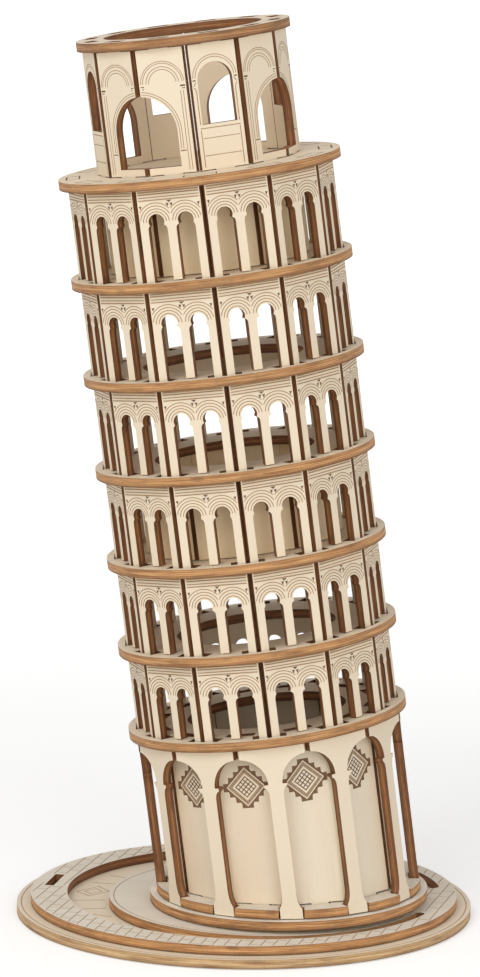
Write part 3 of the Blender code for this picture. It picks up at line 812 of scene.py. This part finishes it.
def garden_lines():
    """Garden paths and one flower bed, seen through the crescent."""
    lines = [stroke(in_metres(path), engraving().line * 1.5) for path in GARDEN_PATHS]
    bed = in_metres(GARDEN_BED)
    middle = tuple(sum(p[i] for p in bed) / len(bed) for i in (0, 1))
    for scale in (1.0, 0.56):
        for edge in (1.0, 1.0 - 0.08 / scale):
            lines.append(scaled(bed, middle, scale * edge))
    return lines


def dress_base():
    e = engraving()
    base_radius = corner("base_disc", 0, 1)
    paving_radius = corner("paving_plate", 0, 1)
    flat = Matrix.Identity(4)
    along_x = pi / 2
    disc = cut_sheet([circle(base_radius, 256)],
                     ring_stroke(base_radius - e.rim_inset, e.line, 256) + garden_lines())
    assemble("base_disc", [(disc, flat_place(flat, corner("base_disc", 2, 1)))], "base", along_x)
    outlines = [circle(paving_radius, 256), basin_outline(), drain_outline()] + rib_slots()
    _, _, inner_centre, inner_radius = basin_arcs()

    def sooty(x, y):
        apron = hypot(x - inner_centre[0], y - inner_centre[1]) < inner_radius + 0.1 * MM
        return hypot(x, y) < paving_radius - MM and not apron
    paving = cut_sheet(outlines, paving_lines() + apron_line(), (), sooty)
    assemble("paving_plate", [(paving, flat_place(flat, corner("paving_plate", 2, 1)))], "paving", along_x)


# ---------------------------------------------------------------- plinth

def collar_outlines():
    s = sizes()
    radius = face_distance(s.ground_inset) + s.collar_lip
    outline = []
    slots = []
    for k in range(SIDES):
        left, right, inner, _ = footprint(k * STEP, s.foot_width / 2, face_distance(s.ground_inset))
        notch = [(left, sqrt(radius ** 2 - left ** 2)), (left, inner), (right, inner),
                 (right, sqrt(radius ** 2 - right ** 2))]
        outline += on_plate(notch, k * STEP)
        next_left = footprint((k + 1) * STEP, s.foot_width / 2, face_distance(s.ground_inset))[0]
        start = k * STEP + asin(right / radius) - pi / 2
        end = (k + 1) * STEP + asin(next_left / radius) - pi / 2
        outline += arc((0.0, 0.0), radius, start, end, 10)[1:-1]
        azimuth = (k + 0.5) * STEP
        inset = s.ground_inset + s.infill_setback
        left, right, inner, outer = footprint(azimuth, s.infill_tab / 2, face_distance(inset))
        slots.append(on_plate(box(left, right, inner, outer), azimuth))
    return [outline] + slots


def dress_plinth():
    s = sizes()
    ply = sheet_thickness()
    plinth = plinth_matrix()
    disc = cut_sheet([circle(s.floor_radius, 192)])
    assemble("plinth_disc", [(disc, flat_place(plinth, ply))], "paving")
    collar = cut_sheet(collar_outlines())
    assemble("plinth_collar", [(collar, flat_place(plinth, 2 * ply + s.gap))], "paving")
    wood = hidden_wood("rib_wood", tuple(colours().infill), tuple(colours().scorch))
    for node in ("plinth_rib_front", "plinth_rib_back"):
        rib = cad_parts[node]
        rib.data.materials.clear()
        rib.data.materials.append(wood)


# ---------------------------------------------------------------- ground storey

def column_outline(azimuth):
    """A T-shaped column: half an arch at each side, a capital, a shaft and a flared foot."""
    s = sizes()
    ply = sheet_thickness()
    face = face_distance(s.ground_inset)
    top = s.ground_top - ply - s.gap
    half_width = half_panel(s.ground_inset, s.gap)
    joint = face * tan(HALF)
    shaft = joint - s.arch_radius
    crown = s.ground_top - ply - s.arch_crown
    spring = crown - s.arch_spring
    centre = (joint, crown - s.arch_radius)
    first = pi - acos((joint - half_width) / s.arch_radius)
    last = pi - (spring - centre[1]) / s.arch_radius
    arch = arc(centre, s.arch_radius, first, last, 18)
    tip = shaft + s.ledge
    capital = [(tip, spring), (tip, spring - s.capital * 0.22)]
    capital += smooth_bend((tip, spring - s.capital * 0.22), (shaft, spring - s.capital * 0.35),
                           (shaft, spring - s.capital))[1:]
    sides = []
    for side in (1, -1):
        foot = s.foot_width / 2
        floor = standing_height(azimuth, face, side * foot, ply + s.gap)
        collar = standing_height(azimuth, face, side * foot, 2 * ply + 2 * s.gap)
        knee = (shaft + 0.1 * MM, collar + 1.0 * MM)
        leg = smooth_bend((shaft, collar + s.foot_flare), knee, (foot, collar)) + [(foot, floor)]
        sides.append([(x * side, y) for x, y in [(half_width, top)] + arch + capital + leg])
    return sides[0] + sides[1][::-1]


def infill_outline(azimuth):
    """A plain panel that stands on the collar, with a tab through it and one into the plate above."""
    s = sizes()
    ply = sheet_thickness()
    inset = s.ground_inset + s.infill_setback
    half_width = half_panel(inset, s.gap)
    top = s.ground_top - ply - s.gap
    tab = s.infill_tab / 2
    disc_top = ply + s.gap
    collar_top = 2 * disc_top
    bottom = []
    for offset, level in ((-half_width, collar_top), (-tab, collar_top), (-tab, disc_top),
                          (tab, disc_top), (tab, collar_top), (half_width, collar_top)):
        bottom.append((offset, standing_height(azimuth, face_distance(inset), offset, level)))
    top_tab = s.infill_top_tab / 2
    return bottom + mirrored([(half_width, top), (top_tab, top), (top_tab, top + s.gap + s.tab_depth)])


def stair_lozenge(half_width, half_height, steps, centre):
    """A diamond whose sides are stairs."""
    cx, cy = centre
    points = []
    for sx, sy in ((1, 1), (-1, 1), (-1, -1), (1, -1)):
        side = []
        for i in range(steps):
            near, far = i / steps, (i + 0.72) / steps
            side.append((cx + sx * half_width * (1 - near), cy + sy * half_height * (near + 0.1 / steps)))
            side.append((cx + sx * half_width * (1 - near), cy + sy * half_height * far))
            side.append((cx + sx * half_width * (1 - far - 0.12 / steps), cy + sy * half_height * far))
        points += side if sx * sy > 0 else side[::-1]
    return points


def lozenge_ornament(centre):
    """A diamond of small diamonds in a banded border with stepped teeth, as stone inlay often has."""
    e = engraving()
    w, h = e.lozenge_width, e.lozenge_height
    cx, cy = centre

    def ring(outer, inner):
        return [lozenge(w * outer, h * outer, centre), lozenge(w * inner, h * inner, centre)]
    lines = ring(0.92, 0.845) + ring(0.775, 0.70)
    marks = [stair_lozenge(w * 1.16, h * 1.16, 4, centre), lozenge(w, h, centre)] + ring(0.83, 0.79)
    marks.append(lozenge(w * 0.56, h * 0.56, centre))
    for i in range(4):
        for j in range(4):
            u, v = (i - 1.5) * 0.13, (j - 1.5) * 0.13
            middle = (cx + (u - v) * w, cy + (u + v) * h)
            marks.append(lozenge(w * 0.095, h * 0.095, middle))
    return lines, marks


LOZENGE_DROP = 1.05 * MM       # springing of the arches to the middle of the ornament


def dress_ground_storey():
    s = sizes()
    ply = sheet_thickness()
    face = face_distance(s.ground_inset)
    inner_face = face_distance(s.ground_inset + s.infill_setback)
    spring = s.ground_top - ply - s.arch_crown - s.arch_spring
    for k in range(SIDES):
        sheet = cut_sheet([column_outline(k * STEP)])
        assemble("ground_column_%02d" % (k + 1), [(sheet, panel_place(k * STEP, face, 0.0))], "face")
    for k in range(SIDES):
        azimuth = (k + 0.5) * STEP
        sheet = cut_sheet([infill_outline(azimuth)], *lozenge_ornament((0.0, spring - LOZENGE_DROP)))
        assemble("ground_infill_%02d" % (k + 1), [(sheet, panel_place(azimuth, inner_face, 0.0))], "infill")


# ---------------------------------------------------------------- floor plates and roof

SLOT_RIM = 0.42 * MM           # width of the burnt outline where a slot is filled


def leg_slot(azimuth, margin=0.0):
    """One slot at each joint takes the side legs of the two panels that meet there."""
    s = sizes()
    face = face_distance(s.gallery_inset)
    reach = []
    for offset in (s.side_shaft - s.slot_spare, half_panel(s.gallery_inset, 0.0)):
        for radius in (face - sheet_thickness(), face):
            reach.append(storey_point(-HALF, offset, radius))
    clear = s.gap - margin
    wide = max(abs(p[0]) for p in reach) + clear
    inner = min(-p[1] for p in reach) - clear
    outer = max(-p[1] for p in reach) + clear
    return on_plate(box(-wide, wide, inner, outer), azimuth)


def tab_slot(azimuth, inset, tab_width):
    """The slot at a panel's middle that takes its tab."""
    s = sizes()
    face = face_distance(inset)
    half = tab_width / 2 + s.gap
    return on_plate(box(-half, half, face - sheet_thickness() - s.gap, face + s.gap), azimuth)


def dress_floors():
    s = sizes()
    leg_slots = [leg_slot(k * STEP) for k in range(SIDES)]
    filled_slots = leg_slots + [leg_slot(k * STEP, SLOT_RIM) for k in range(SIDES)]
    middles = [(k + 0.5) * STEP for k in range(SIDES)]
    infill_inset = s.ground_inset + s.infill_setback
    infill_slots = [tab_slot(azimuth, infill_inset, s.infill_top_tab) for azimuth in middles]
    belfry_slots = [tab_slot(azimuth, s.belfry_inset, s.belfry_tab) for azimuth in middles]
    openings = {number: [circle(s.well_radius, 96)] + leg_slots for number in range(1, 7)}
    openings[1] = openings[1] + infill_slots
    openings[7] = belfry_slots
    for number, holes in openings.items():
        marks = filled_slots if number == 7 else ()
        sheet = cut_sheet([circle(s.floor_radius, 192)] + holes, (), marks,
                          lambda x, y: hypot(x, y) < s.floor_radius - MM)
        place = flat_place(tower_matrix(), floor_top(number))
        assemble("floor_plate_%d" % number, [(sheet, place)], "plate", 0.7 * number)
    corners = s.floor_radius - s.belfry_inset
    outlines = [circle(corners + s.roof_overhang, 160), circle(corners - s.roof_margin, 128)]
    roof = cut_sheet(outlines + belfry_slots, (), (), lambda x, y: hypot(x, y) < corners)
    top = floor_top(7) + s.belfry_pitch
    assemble("roof_ring", [(roof, flat_place(tower_matrix(), top))], "roof", 0.4)


# ---------------------------------------------------------------- galleries

JOIN = 0.04 * MM               # clearance between the panels of one ring
CAPITAL_TIP = 0.35 * MM        # how far a slim capital reaches under its arch


def arcade_outline(height):
    """Two arches on three columns; y = 0 is the floor, and the side legs enter its slots."""
    s = sizes()
    spring = height - s.bay_spring
    half_width = half_panel(s.gallery_inset, JOIN)
    inner, outer = s.bay_centre - s.bay_radius, s.bay_centre + s.bay_radius
    middle_shaft = s.shaft_width / 2
    lip, knee, neck = (spring - s.bay_capital * share for share in (0.45, 0.6, 1.15))
    tip = CAPITAL_TIP * 0.7
    right = [(half_width, height - s.gap), (half_width, -s.tab_depth), (s.side_shaft, -s.tab_depth)]
    right += [(s.side_shaft, spring - s.bay_capital * 1.3)]
    right += smooth_bend((s.side_shaft, neck), (s.side_shaft, knee), (outer - tip, lip), 4)
    right += arc((s.bay_centre, spring), s.bay_radius, 0.0, pi, 20)
    right += smooth_bend((inner + tip, lip), (middle_shaft, knee), (middle_shaft, neck), 4)
    return mirrored(right + [(middle_shaft, s.gap)])


# The arcades' engraving, in millimetres
BANDS = ((0.62, 0.42), (1.22, 0.34), (2.05, 0.24), (2.75, 0.30))      # drop below the top, width
ARCH_RINGS = (2.65, 3.40, 4.15, 4.90)
RING_FOOT = 0.12               # the rings stop this far above the springing
RING_PARTING = 0.20            # and this far from the panel's middle
EDGE_CLEAR = 0.35              # and this far from its sides


def arcade_lines(height):
    """Entablature bands and four rings round each arch, then the burnt cuts between them."""
    s = sizes()
    e = engraving()
    spring = height - s.bay_spring
    half_width = half_panel(s.gallery_inset, JOIN)
    edge = half_width - EDGE_CLEAR * MM
    lines = []
    for drop, width in BANDS:
        y = height - drop * MM
        lines.append(stroke([(-edge, y), (edge, y)], width * MM))
    for side in (-1, 1):
        centre = (side * s.bay_centre, spring)
        for radius in (ring * MM for ring in ARCH_RINGS):
            outward, inward = (acos(reach / radius) if radius > reach else RING_FOOT * MM / radius
                               for reach in (edge - s.bay_centre, s.bay_centre - RING_PARTING * MM))
            start, end = (outward, pi - inward) if side > 0 else (inward, pi - outward)
            lines.append(arc_stroke(centre, radius, start, end, e.line * 0.85))
    marks = [triangle((0.0, spring + 5.08 * MM), 1.4 * MM, 0.60 * MM)]
    for side in (-1, 1):
        marks.append(triangle((side * 0.52 * MM, spring + 4.12 * MM), 0.76 * MM, 0.98 * MM))
        marks.append(triangle((side * (edge - 0.30 * MM), spring + 3.85 * MM), 0.72 * MM, 0.90 * MM))
    return lines, marks


def triangle(centre, width, height):
    """A small triangular cut, point down."""
    x, y = centre
    return [(x - width / 2, y + height / 2), (x, y - height / 2), (x + width / 2, y + height / 2)]


def dress_galleries():
    s = sizes()
    ply = sheet_thickness()
    face = face_distance(s.gallery_inset)
    for number in range(1, 7):
        floor = floor_top(number)
        height = floor_top(number + 1) - ply - floor
        sheet = cut_sheet([arcade_outline(height)], *arcade_lines(height))
        placed = [(sheet, panel_place((k + 0.5) * STEP, face, floor)) for k in range(SIDES)]
        assemble("gallery_arcade_%d" % number, placed, "face")
        if number in (3, 6):
            inset = s.gallery_inset + s.drum_setback
            half = half_panel(inset, JOIN)
            sheet = cut_sheet([box(-half, half, s.gap, height - s.gap)])
            distance = face_distance(inset)
            placed = [(sheet, panel_place((k + 0.5) * STEP, distance, floor)) for k in range(SIDES)]
            assemble("inner_drum_%d" % number, placed, "drum")


# ---------------------------------------------------------------- belfry

def tabbed(left_side, right_side, height):
    s = sizes()
    tab = s.belfry_tab / 2
    bottom = [(-tab, s.gap), (-tab, -s.tab_depth), (tab, -s.tab_depth), (tab, s.gap)]
    top = [(-x, height - y) for x, y in bottom]
    return bottom + right_side + top + left_side


def belfry_outlines(height):
    """Outlines of the three panel shapes: window, and the halves of the tall shared portal."""
    s = sizes()
    half = half_panel(s.belfry_inset, s.gap)
    joint = face_distance(s.belfry_inset) * tan(HALF)
    low, high = s.gap, height - s.gap
    plain_right = [(half, low), (half, high)]
    plain_left = [(-half, high), (-half, low)]
    jamb = joint - s.portal_radius
    last = acos((joint - half) / s.portal_radius)
    half_arch = arc((-joint, s.portal_spring), s.portal_radius, 0.0, last, 28)
    below = [(-jamb, s.portal_sill), (-half, s.portal_sill), (-half, low)]
    portal_left = [(-half, high)] + half_arch[::-1] + below
    portal_right = flipped(portal_left)
    window = [(s.window_width / 2, s.window_sill)]
    window += arc((0.0, s.window_spring), s.window_width / 2, 0.0, pi, 32)
    window += [(-s.window_width / 2, s.window_sill)]
    return {"window": [tabbed(plain_left, plain_right, height), window],
            "portal_left": [tabbed(plain_left, portal_right, height)],
            "portal_right": [tabbed(portal_left, plain_right, height)]}


SLIM_LINE = 0.7                # the belfry's lines, as a share of the usual width


def window_lines():
    """Two arcs round the window, on slim shafts with capitals like a seven, and planks below."""
    s = sizes()
    w = engraving().line * SLIM_LINE
    impost = s.window_spring + 0.7 * MM
    top = impost - 0.4 * MM
    sill = s.window_sill
    lines = [arc_stroke((0.0, impost), radius, 0.04, pi - 0.04, w, 28) for radius in (5.1 * MM, 5.7 * MM)]
    marks = []
    for side in (-1, 1):
        x = side * 5.15 * MM
        back, tip = x - side * 0.10 * MM, x + side * 0.48 * MM
        flare = (x + side * 0.50 * MM, top - 1.75 * MM)
        neck = smooth_bend(flare, (x, top - 2.2 * MM), (x, top - 3.2 * MM), 4)
        lines.append(stroke(neck + [(x, sill)], w * 1.3))
        lines.append(stroke([(x, sill - 1.35 * MM), (x, 0.9 * MM)], w * 1.3))
        marks.append(stroke([(x + side * 0.72 * MM, top), (back, top)], w * 1.7))
        marks.append(stroke([(back, top - 0.42 * MM), (tip, top - 1.35 * MM)], w))
    for edge, drop, wide in ((5.3, 0.95, 1.3), (4.85, 3.5, 1.0), (4.85, 7.9, 1.0)):
        y = sill - drop * MM
        lines.append(stroke([(-edge * MM, y), (edge * MM, y)], w * wide))
    return lines, marks


def portal_lines():
    """Lines of the panel whose portal is on its left: a blind arch above the portal's own arch."""
    s = sizes()
    w = engraving().line * SLIM_LINE
    joint = face_distance(s.belfry_inset) * tan(HALF)
    half = half_panel(s.belfry_inset, s.gap)
    impost = s.portal_spring + 12.1 * MM
    crown = s.portal_spring + s.portal_radius
    foot = 5.9 * MM
    rings = (5.7, 5.2, 4.3, 3.6)
    lines = [arc_stroke((0.0, impost), ring * MM, 0.04, pi - 0.04, w, 28) for ring in rings]
    for grow in (0.55 * MM, 1.15 * MM):
        radius = s.portal_radius + grow
        bend = arc((-joint, s.portal_spring), radius, 0.0, acos((joint - half + 0.3 * MM) / radius), 24)
        lines.append(stroke([(bend[0][0], foot + 0.45 * MM)] + bend, w))
    for x in (4.5 * MM, 5.25 * MM):
        lines.append(stroke([(x, impost - 2.1 * MM), (x, 0.9 * MM)], w))
    jamb = s.portal_radius - joint
    seven = -half + 0.95 * MM
    marks = []
    for x0, y0, x1, y1, wide in (
            (jamb + 0.3 * MM, foot, jamb + 1.8 * MM, foot, 1.4),
            (seven - 0.6 * MM, impost - 0.45 * MM, seven + 0.25 * MM, impost - 0.45 * MM, 1.3),
            (seven + 0.2 * MM, impost - 0.85 * MM, seven - 0.2 * MM, crown + 1.55 * MM, 1.0),
            (4.55 * MM, impost - 0.9 * MM, 5.85 * MM, impost - 0.9 * MM, 2.4),
            (4.95 * MM, impost - 1.55 * MM, 5.8 * MM, impost - 1.55 * MM, 1.2)):
        marks.append(stroke([(x0, y0), (x1, y1)], w * wide))
    return lines, marks


def dress_belfry():
    s = sizes()
    floor = floor_top(7)
    height = s.belfry_pitch - sheet_thickness()
    outlines = belfry_outlines(height)
    right = portal_lines()
    left = [[flipped(points) for points in group] for group in right]
    drawn = {"window": window_lines(), "portal_right": right, "portal_left": left}
    kinds = ("window", "portal_left", "portal_right")
    sheets = {kind: cut_sheet(outlines[kind], *drawn[kind]) for kind in kinds}
    for k in range(SIDES):
        kind = kinds[k % 3]
        place = panel_place((k + 0.5) * STEP, face_distance(s.belfry_inset), floor)
        assemble("belfry_%s_%d" % (kind, k // 3 + 1), [(sheets[kind], place)], "face")


# ---------------------------------------------------------------- studio

CAMERA_PLACE = (0.02664, -1.23107, 0.31763)
CAMERA_AIM = (-0.00134, 0.0, 0.11417)
CAMERA_ROLL = radians(0.549)
CAMERA_LENS = 174.77
CAMERA_SENSOR = 36.0
PICTURE_HEIGHT = 977.0
PICTURE_SHIFT = (2.69, -0.67)
SOFTBOX_AIM = (0.0, 0.0, 0.15)
SOFTBOX_WIDTH = 0.8
SOFTBOXES = (("key_softbox", (-0.58, -1.02, 1.05), 7.2, (1.0, 0.985, 0.96)),
             ("fill_softbox", (0.50, -1.35, 0.60), 5.0, (1.0, 0.99, 0.97)))
WORLD_STRENGTH = 0.50


def add_camera():
    """The camera that the photograph was fitted with."""
    place = Vector(CAMERA_PLACE)
    forward = (Vector(CAMERA_AIM) - place).normalized()
    level = forward.cross(Vector((0.0, 0.0, 1.0))).normalized()
    upright = level.cross(forward)
    right = level * cos(CAMERA_ROLL) + upright * sin(CAMERA_ROLL)
    up = upright * cos(CAMERA_ROLL) - level * sin(CAMERA_ROLL)
    data = bpy.data.cameras.new("photo_camera")
    data.sensor_fit = "VERTICAL"
    data.sensor_height = CAMERA_SENSOR
    data.lens = CAMERA_LENS
    data.clip_start = 0.05
    data.clip_end = 20.0
    data.shift_x = -PICTURE_SHIFT[0] / PICTURE_HEIGHT
    data.shift_y = PICTURE_SHIFT[1] / PICTURE_HEIGHT
    camera = bpy.data.objects.new("photo_camera", data)
    turn = Matrix((right, up, -forward)).transposed().to_4x4()
    camera.matrix_world = Matrix.Translation(place) @ turn
    bpy.context.scene.collection.objects.link(camera)
    bpy.context.scene.camera = camera


def add_softbox(name, place, watts, rgb):
    data = bpy.data.lights.new(name, "AREA")
    data.shape = "RECTANGLE"
    data.size = SOFTBOX_WIDTH
    data.size_y = SOFTBOX_WIDTH
    data.energy = watts
    data.color = rgb
    lamp = bpy.data.objects.new(name, data)
    towards = (Vector(SOFTBOX_AIM) - Vector(place)).to_track_quat("-Z", "Y")
    lamp.matrix_world = Matrix.Translation(place) @ towards.to_matrix().to_4x4()
    bpy.context.scene.collection.objects.link(lamp)


def add_floor():
    """A sheet of pale paper, white in the picture through a painted glow that is weaker under the model,
    where it is still shaded.
    """
    work = bmesh.new()
    bmesh.ops.create_grid(work, x_segments=8, y_segments=8, size=6.0)
    bmesh.ops.translate(work, verts=work.verts, vec=(0.0, 0.0, -0.0003))
    mesh = bpy.data.meshes.new("studio_floor")
    work.to_mesh(mesh)
    work.free()
    floor = bpy.data.objects.new("studio_floor", mesh)
    bpy.context.scene.collection.objects.link(floor)
    finish = Finish("studio_paper")
    finish.set(Base_Color=tuple(colours().floor), Roughness=0.9)
    paths = finish.tree.nodes.new("ShaderNodeLightPath")
    seen = finish.math("MAXIMUM", Value(finish, paths.outputs["Is Camera Ray"]),
                       Value(finish, paths.outputs["Is Glossy Ray"]))
    place = finish.node("ShaderNodeTexCoord", output=3)
    distance = finish.node("ShaderNodeVectorMath", {"operation": "LENGTH"}, {0: place}, output=1)
    # Painted light: camera rays see an added glow that whitens the paper. It is weaker near the middle, so
    # the model's real shadow there stays darker than an even glow would leave it.
    level = 0.32 + finish.step(distance, 0.08, 0.9) * 0.35
    painted_light_colour = finish.node("ShaderNodeCombineColor", {}, {0: level, 1: level, 2: level})
    painted_glow = finish.node("ShaderNodeEmission", {}, {"Color": painted_light_colour, "Strength": 1.0})
    total = finish.node("ShaderNodeAddShader")
    finish.tree.links.new(finish.shader.outputs[0], total.socket.node.inputs[0])
    finish.feed(total.socket.node.inputs[1], painted_glow)
    shown = finish.node("ShaderNodeMixShader", {}, {0: seen})
    finish.tree.links.new(finish.shader.outputs[0], shown.socket.node.inputs[1])
    finish.feed(shown.socket.node.inputs[2], total)
    finish.tree.links.new(shown.socket, finish.tree.nodes["Material Output"].inputs["Surface"])
    mesh.materials.append(finish.material)


def light_world(strength):
    world = bpy.data.worlds.new("studio_world")
    bpy.context.scene.world = world
    world.use_nodes = True
    tree = world.node_tree
    background = tree.nodes["Background"]
    paths = tree.nodes.new("ShaderNodeLightPath")
    seen = tree.nodes.new("ShaderNodeMath")
    seen.operation = "MAXIMUM"
    tree.links.new(paths.outputs["Is Camera Ray"], seen.inputs[0])
    tree.links.new(paths.outputs["Is Glossy Ray"], seen.inputs[1])
    level = tree.nodes.new("ShaderNodeMapRange")
    level.inputs["To Min"].default_value = strength
    level.inputs["To Max"].default_value = 1.0
    tree.links.new(seen.outputs[0], level.inputs["Value"])
    background.inputs["Color"].default_value = (1.0, 1.0, 1.0, 1.0)
    tree.links.new(level.outputs[0], background.inputs["Strength"])


def build_studio():
    add_camera()
    add_floor()
    light_world(WORLD_STRENGTH)
    for name, place, watts, rgb in SOFTBOXES:
        add_softbox(name, place, watts, rgb)
    bpy.context.scene.view_settings.view_transform = "Standard"


# ---------------------------------------------------------------- add-on

class TOWERKIT_OT_base(bpy.types.Operator):
    """Dress the base disc and the paving plate"""
    bl_idname = "towerkit.base"
    bl_label = "Base and Paving"

    def execute(self, context):
        dress_base()
        return {"FINISHED"}


class TOWERKIT_OT_plinth(bpy.types.Operator):
    """Dress the plinth disc, its collar and its ribs"""
    bl_idname = "towerkit.plinth"
    bl_label = "Plinth"

    def execute(self, context):
        dress_plinth()
        return {"FINISHED"}


class TOWERKIT_OT_ground(bpy.types.Operator):
    """Dress the columns and the infill panels"""
    bl_idname = "towerkit.ground"
    bl_label = "Ground Storey"

    def execute(self, context):
        dress_ground_storey()
        return {"FINISHED"}


class TOWERKIT_OT_floors(bpy.types.Operator):
    """Dress the floor plates and the roof ring"""
    bl_idname = "towerkit.floors"
    bl_label = "Floor Plates"

    def execute(self, context):
        dress_floors()
        return {"FINISHED"}


class TOWERKIT_OT_galleries(bpy.types.Operator):
    """Dress the arcades and the inner drums"""
    bl_idname = "towerkit.galleries"
    bl_label = "Galleries"

    def execute(self, context):
        dress_galleries()
        return {"FINISHED"}


class TOWERKIT_OT_belfry(bpy.types.Operator):
    """Dress the belfry's panels"""
    bl_idname = "towerkit.belfry"
    bl_label = "Belfry"

    def execute(self, context):
        dress_belfry()
        return {"FINISHED"}


class TOWERKIT_OT_studio(bpy.types.Operator):
    """Add the camera, the floor and the lights"""
    bl_idname = "towerkit.studio"
    bl_label = "Studio"

    def execute(self, context):
        build_studio()
        return {"FINISHED"}


OPERATORS = (TOWERKIT_OT_base, TOWERKIT_OT_plinth, TOWERKIT_OT_ground, TOWERKIT_OT_floors,
             TOWERKIT_OT_galleries, TOWERKIT_OT_belfry, TOWERKIT_OT_studio)


class TOWERKIT_PT_sidebar(bpy.types.Panel):
    """Sizes, colours and steps of the tower kit."""
    bl_label = "Tower Kit"
    bl_idname = "TOWERKIT_PT_sidebar"
    bl_space_type = "VIEW_3D"
    bl_region_type = "UI"
    bl_category = "Tower Kit"

    def draw(self, context):
        layout = self.layout
        for kind in OPERATORS:
            layout.operator(kind.bl_idname)
        for group in (sizes(), engraving(), colours()):
            column = layout.column()
            for name in group.__annotations__:
                column.prop(group, name)


CLASSES = (TowerSizes, TowerEngraving, TowerColours) + OPERATORS + (TOWERKIT_PT_sidebar,)


def register():
    for kind in CLASSES:
        bpy.utils.register_class(kind)
    bpy.types.Scene.tower_sizes = PointerProperty(type=TowerSizes)
    bpy.types.Scene.tower_engraving = PointerProperty(type=TowerEngraving)
    bpy.types.Scene.tower_colours = PointerProperty(type=TowerColours)


def unregister():
    del bpy.types.Scene.tower_colours
    del bpy.types.Scene.tower_engraving
    del bpy.types.Scene.tower_sizes
    for kind in reversed(CLASSES):
        bpy.utils.unregister_class(kind)


def main():
    register()
    for step in ("base", "plinth", "ground", "floors", "galleries", "belfry", "studio"):
        getattr(bpy.ops.towerkit, step)()


if __name__ == "__main__":
    main()
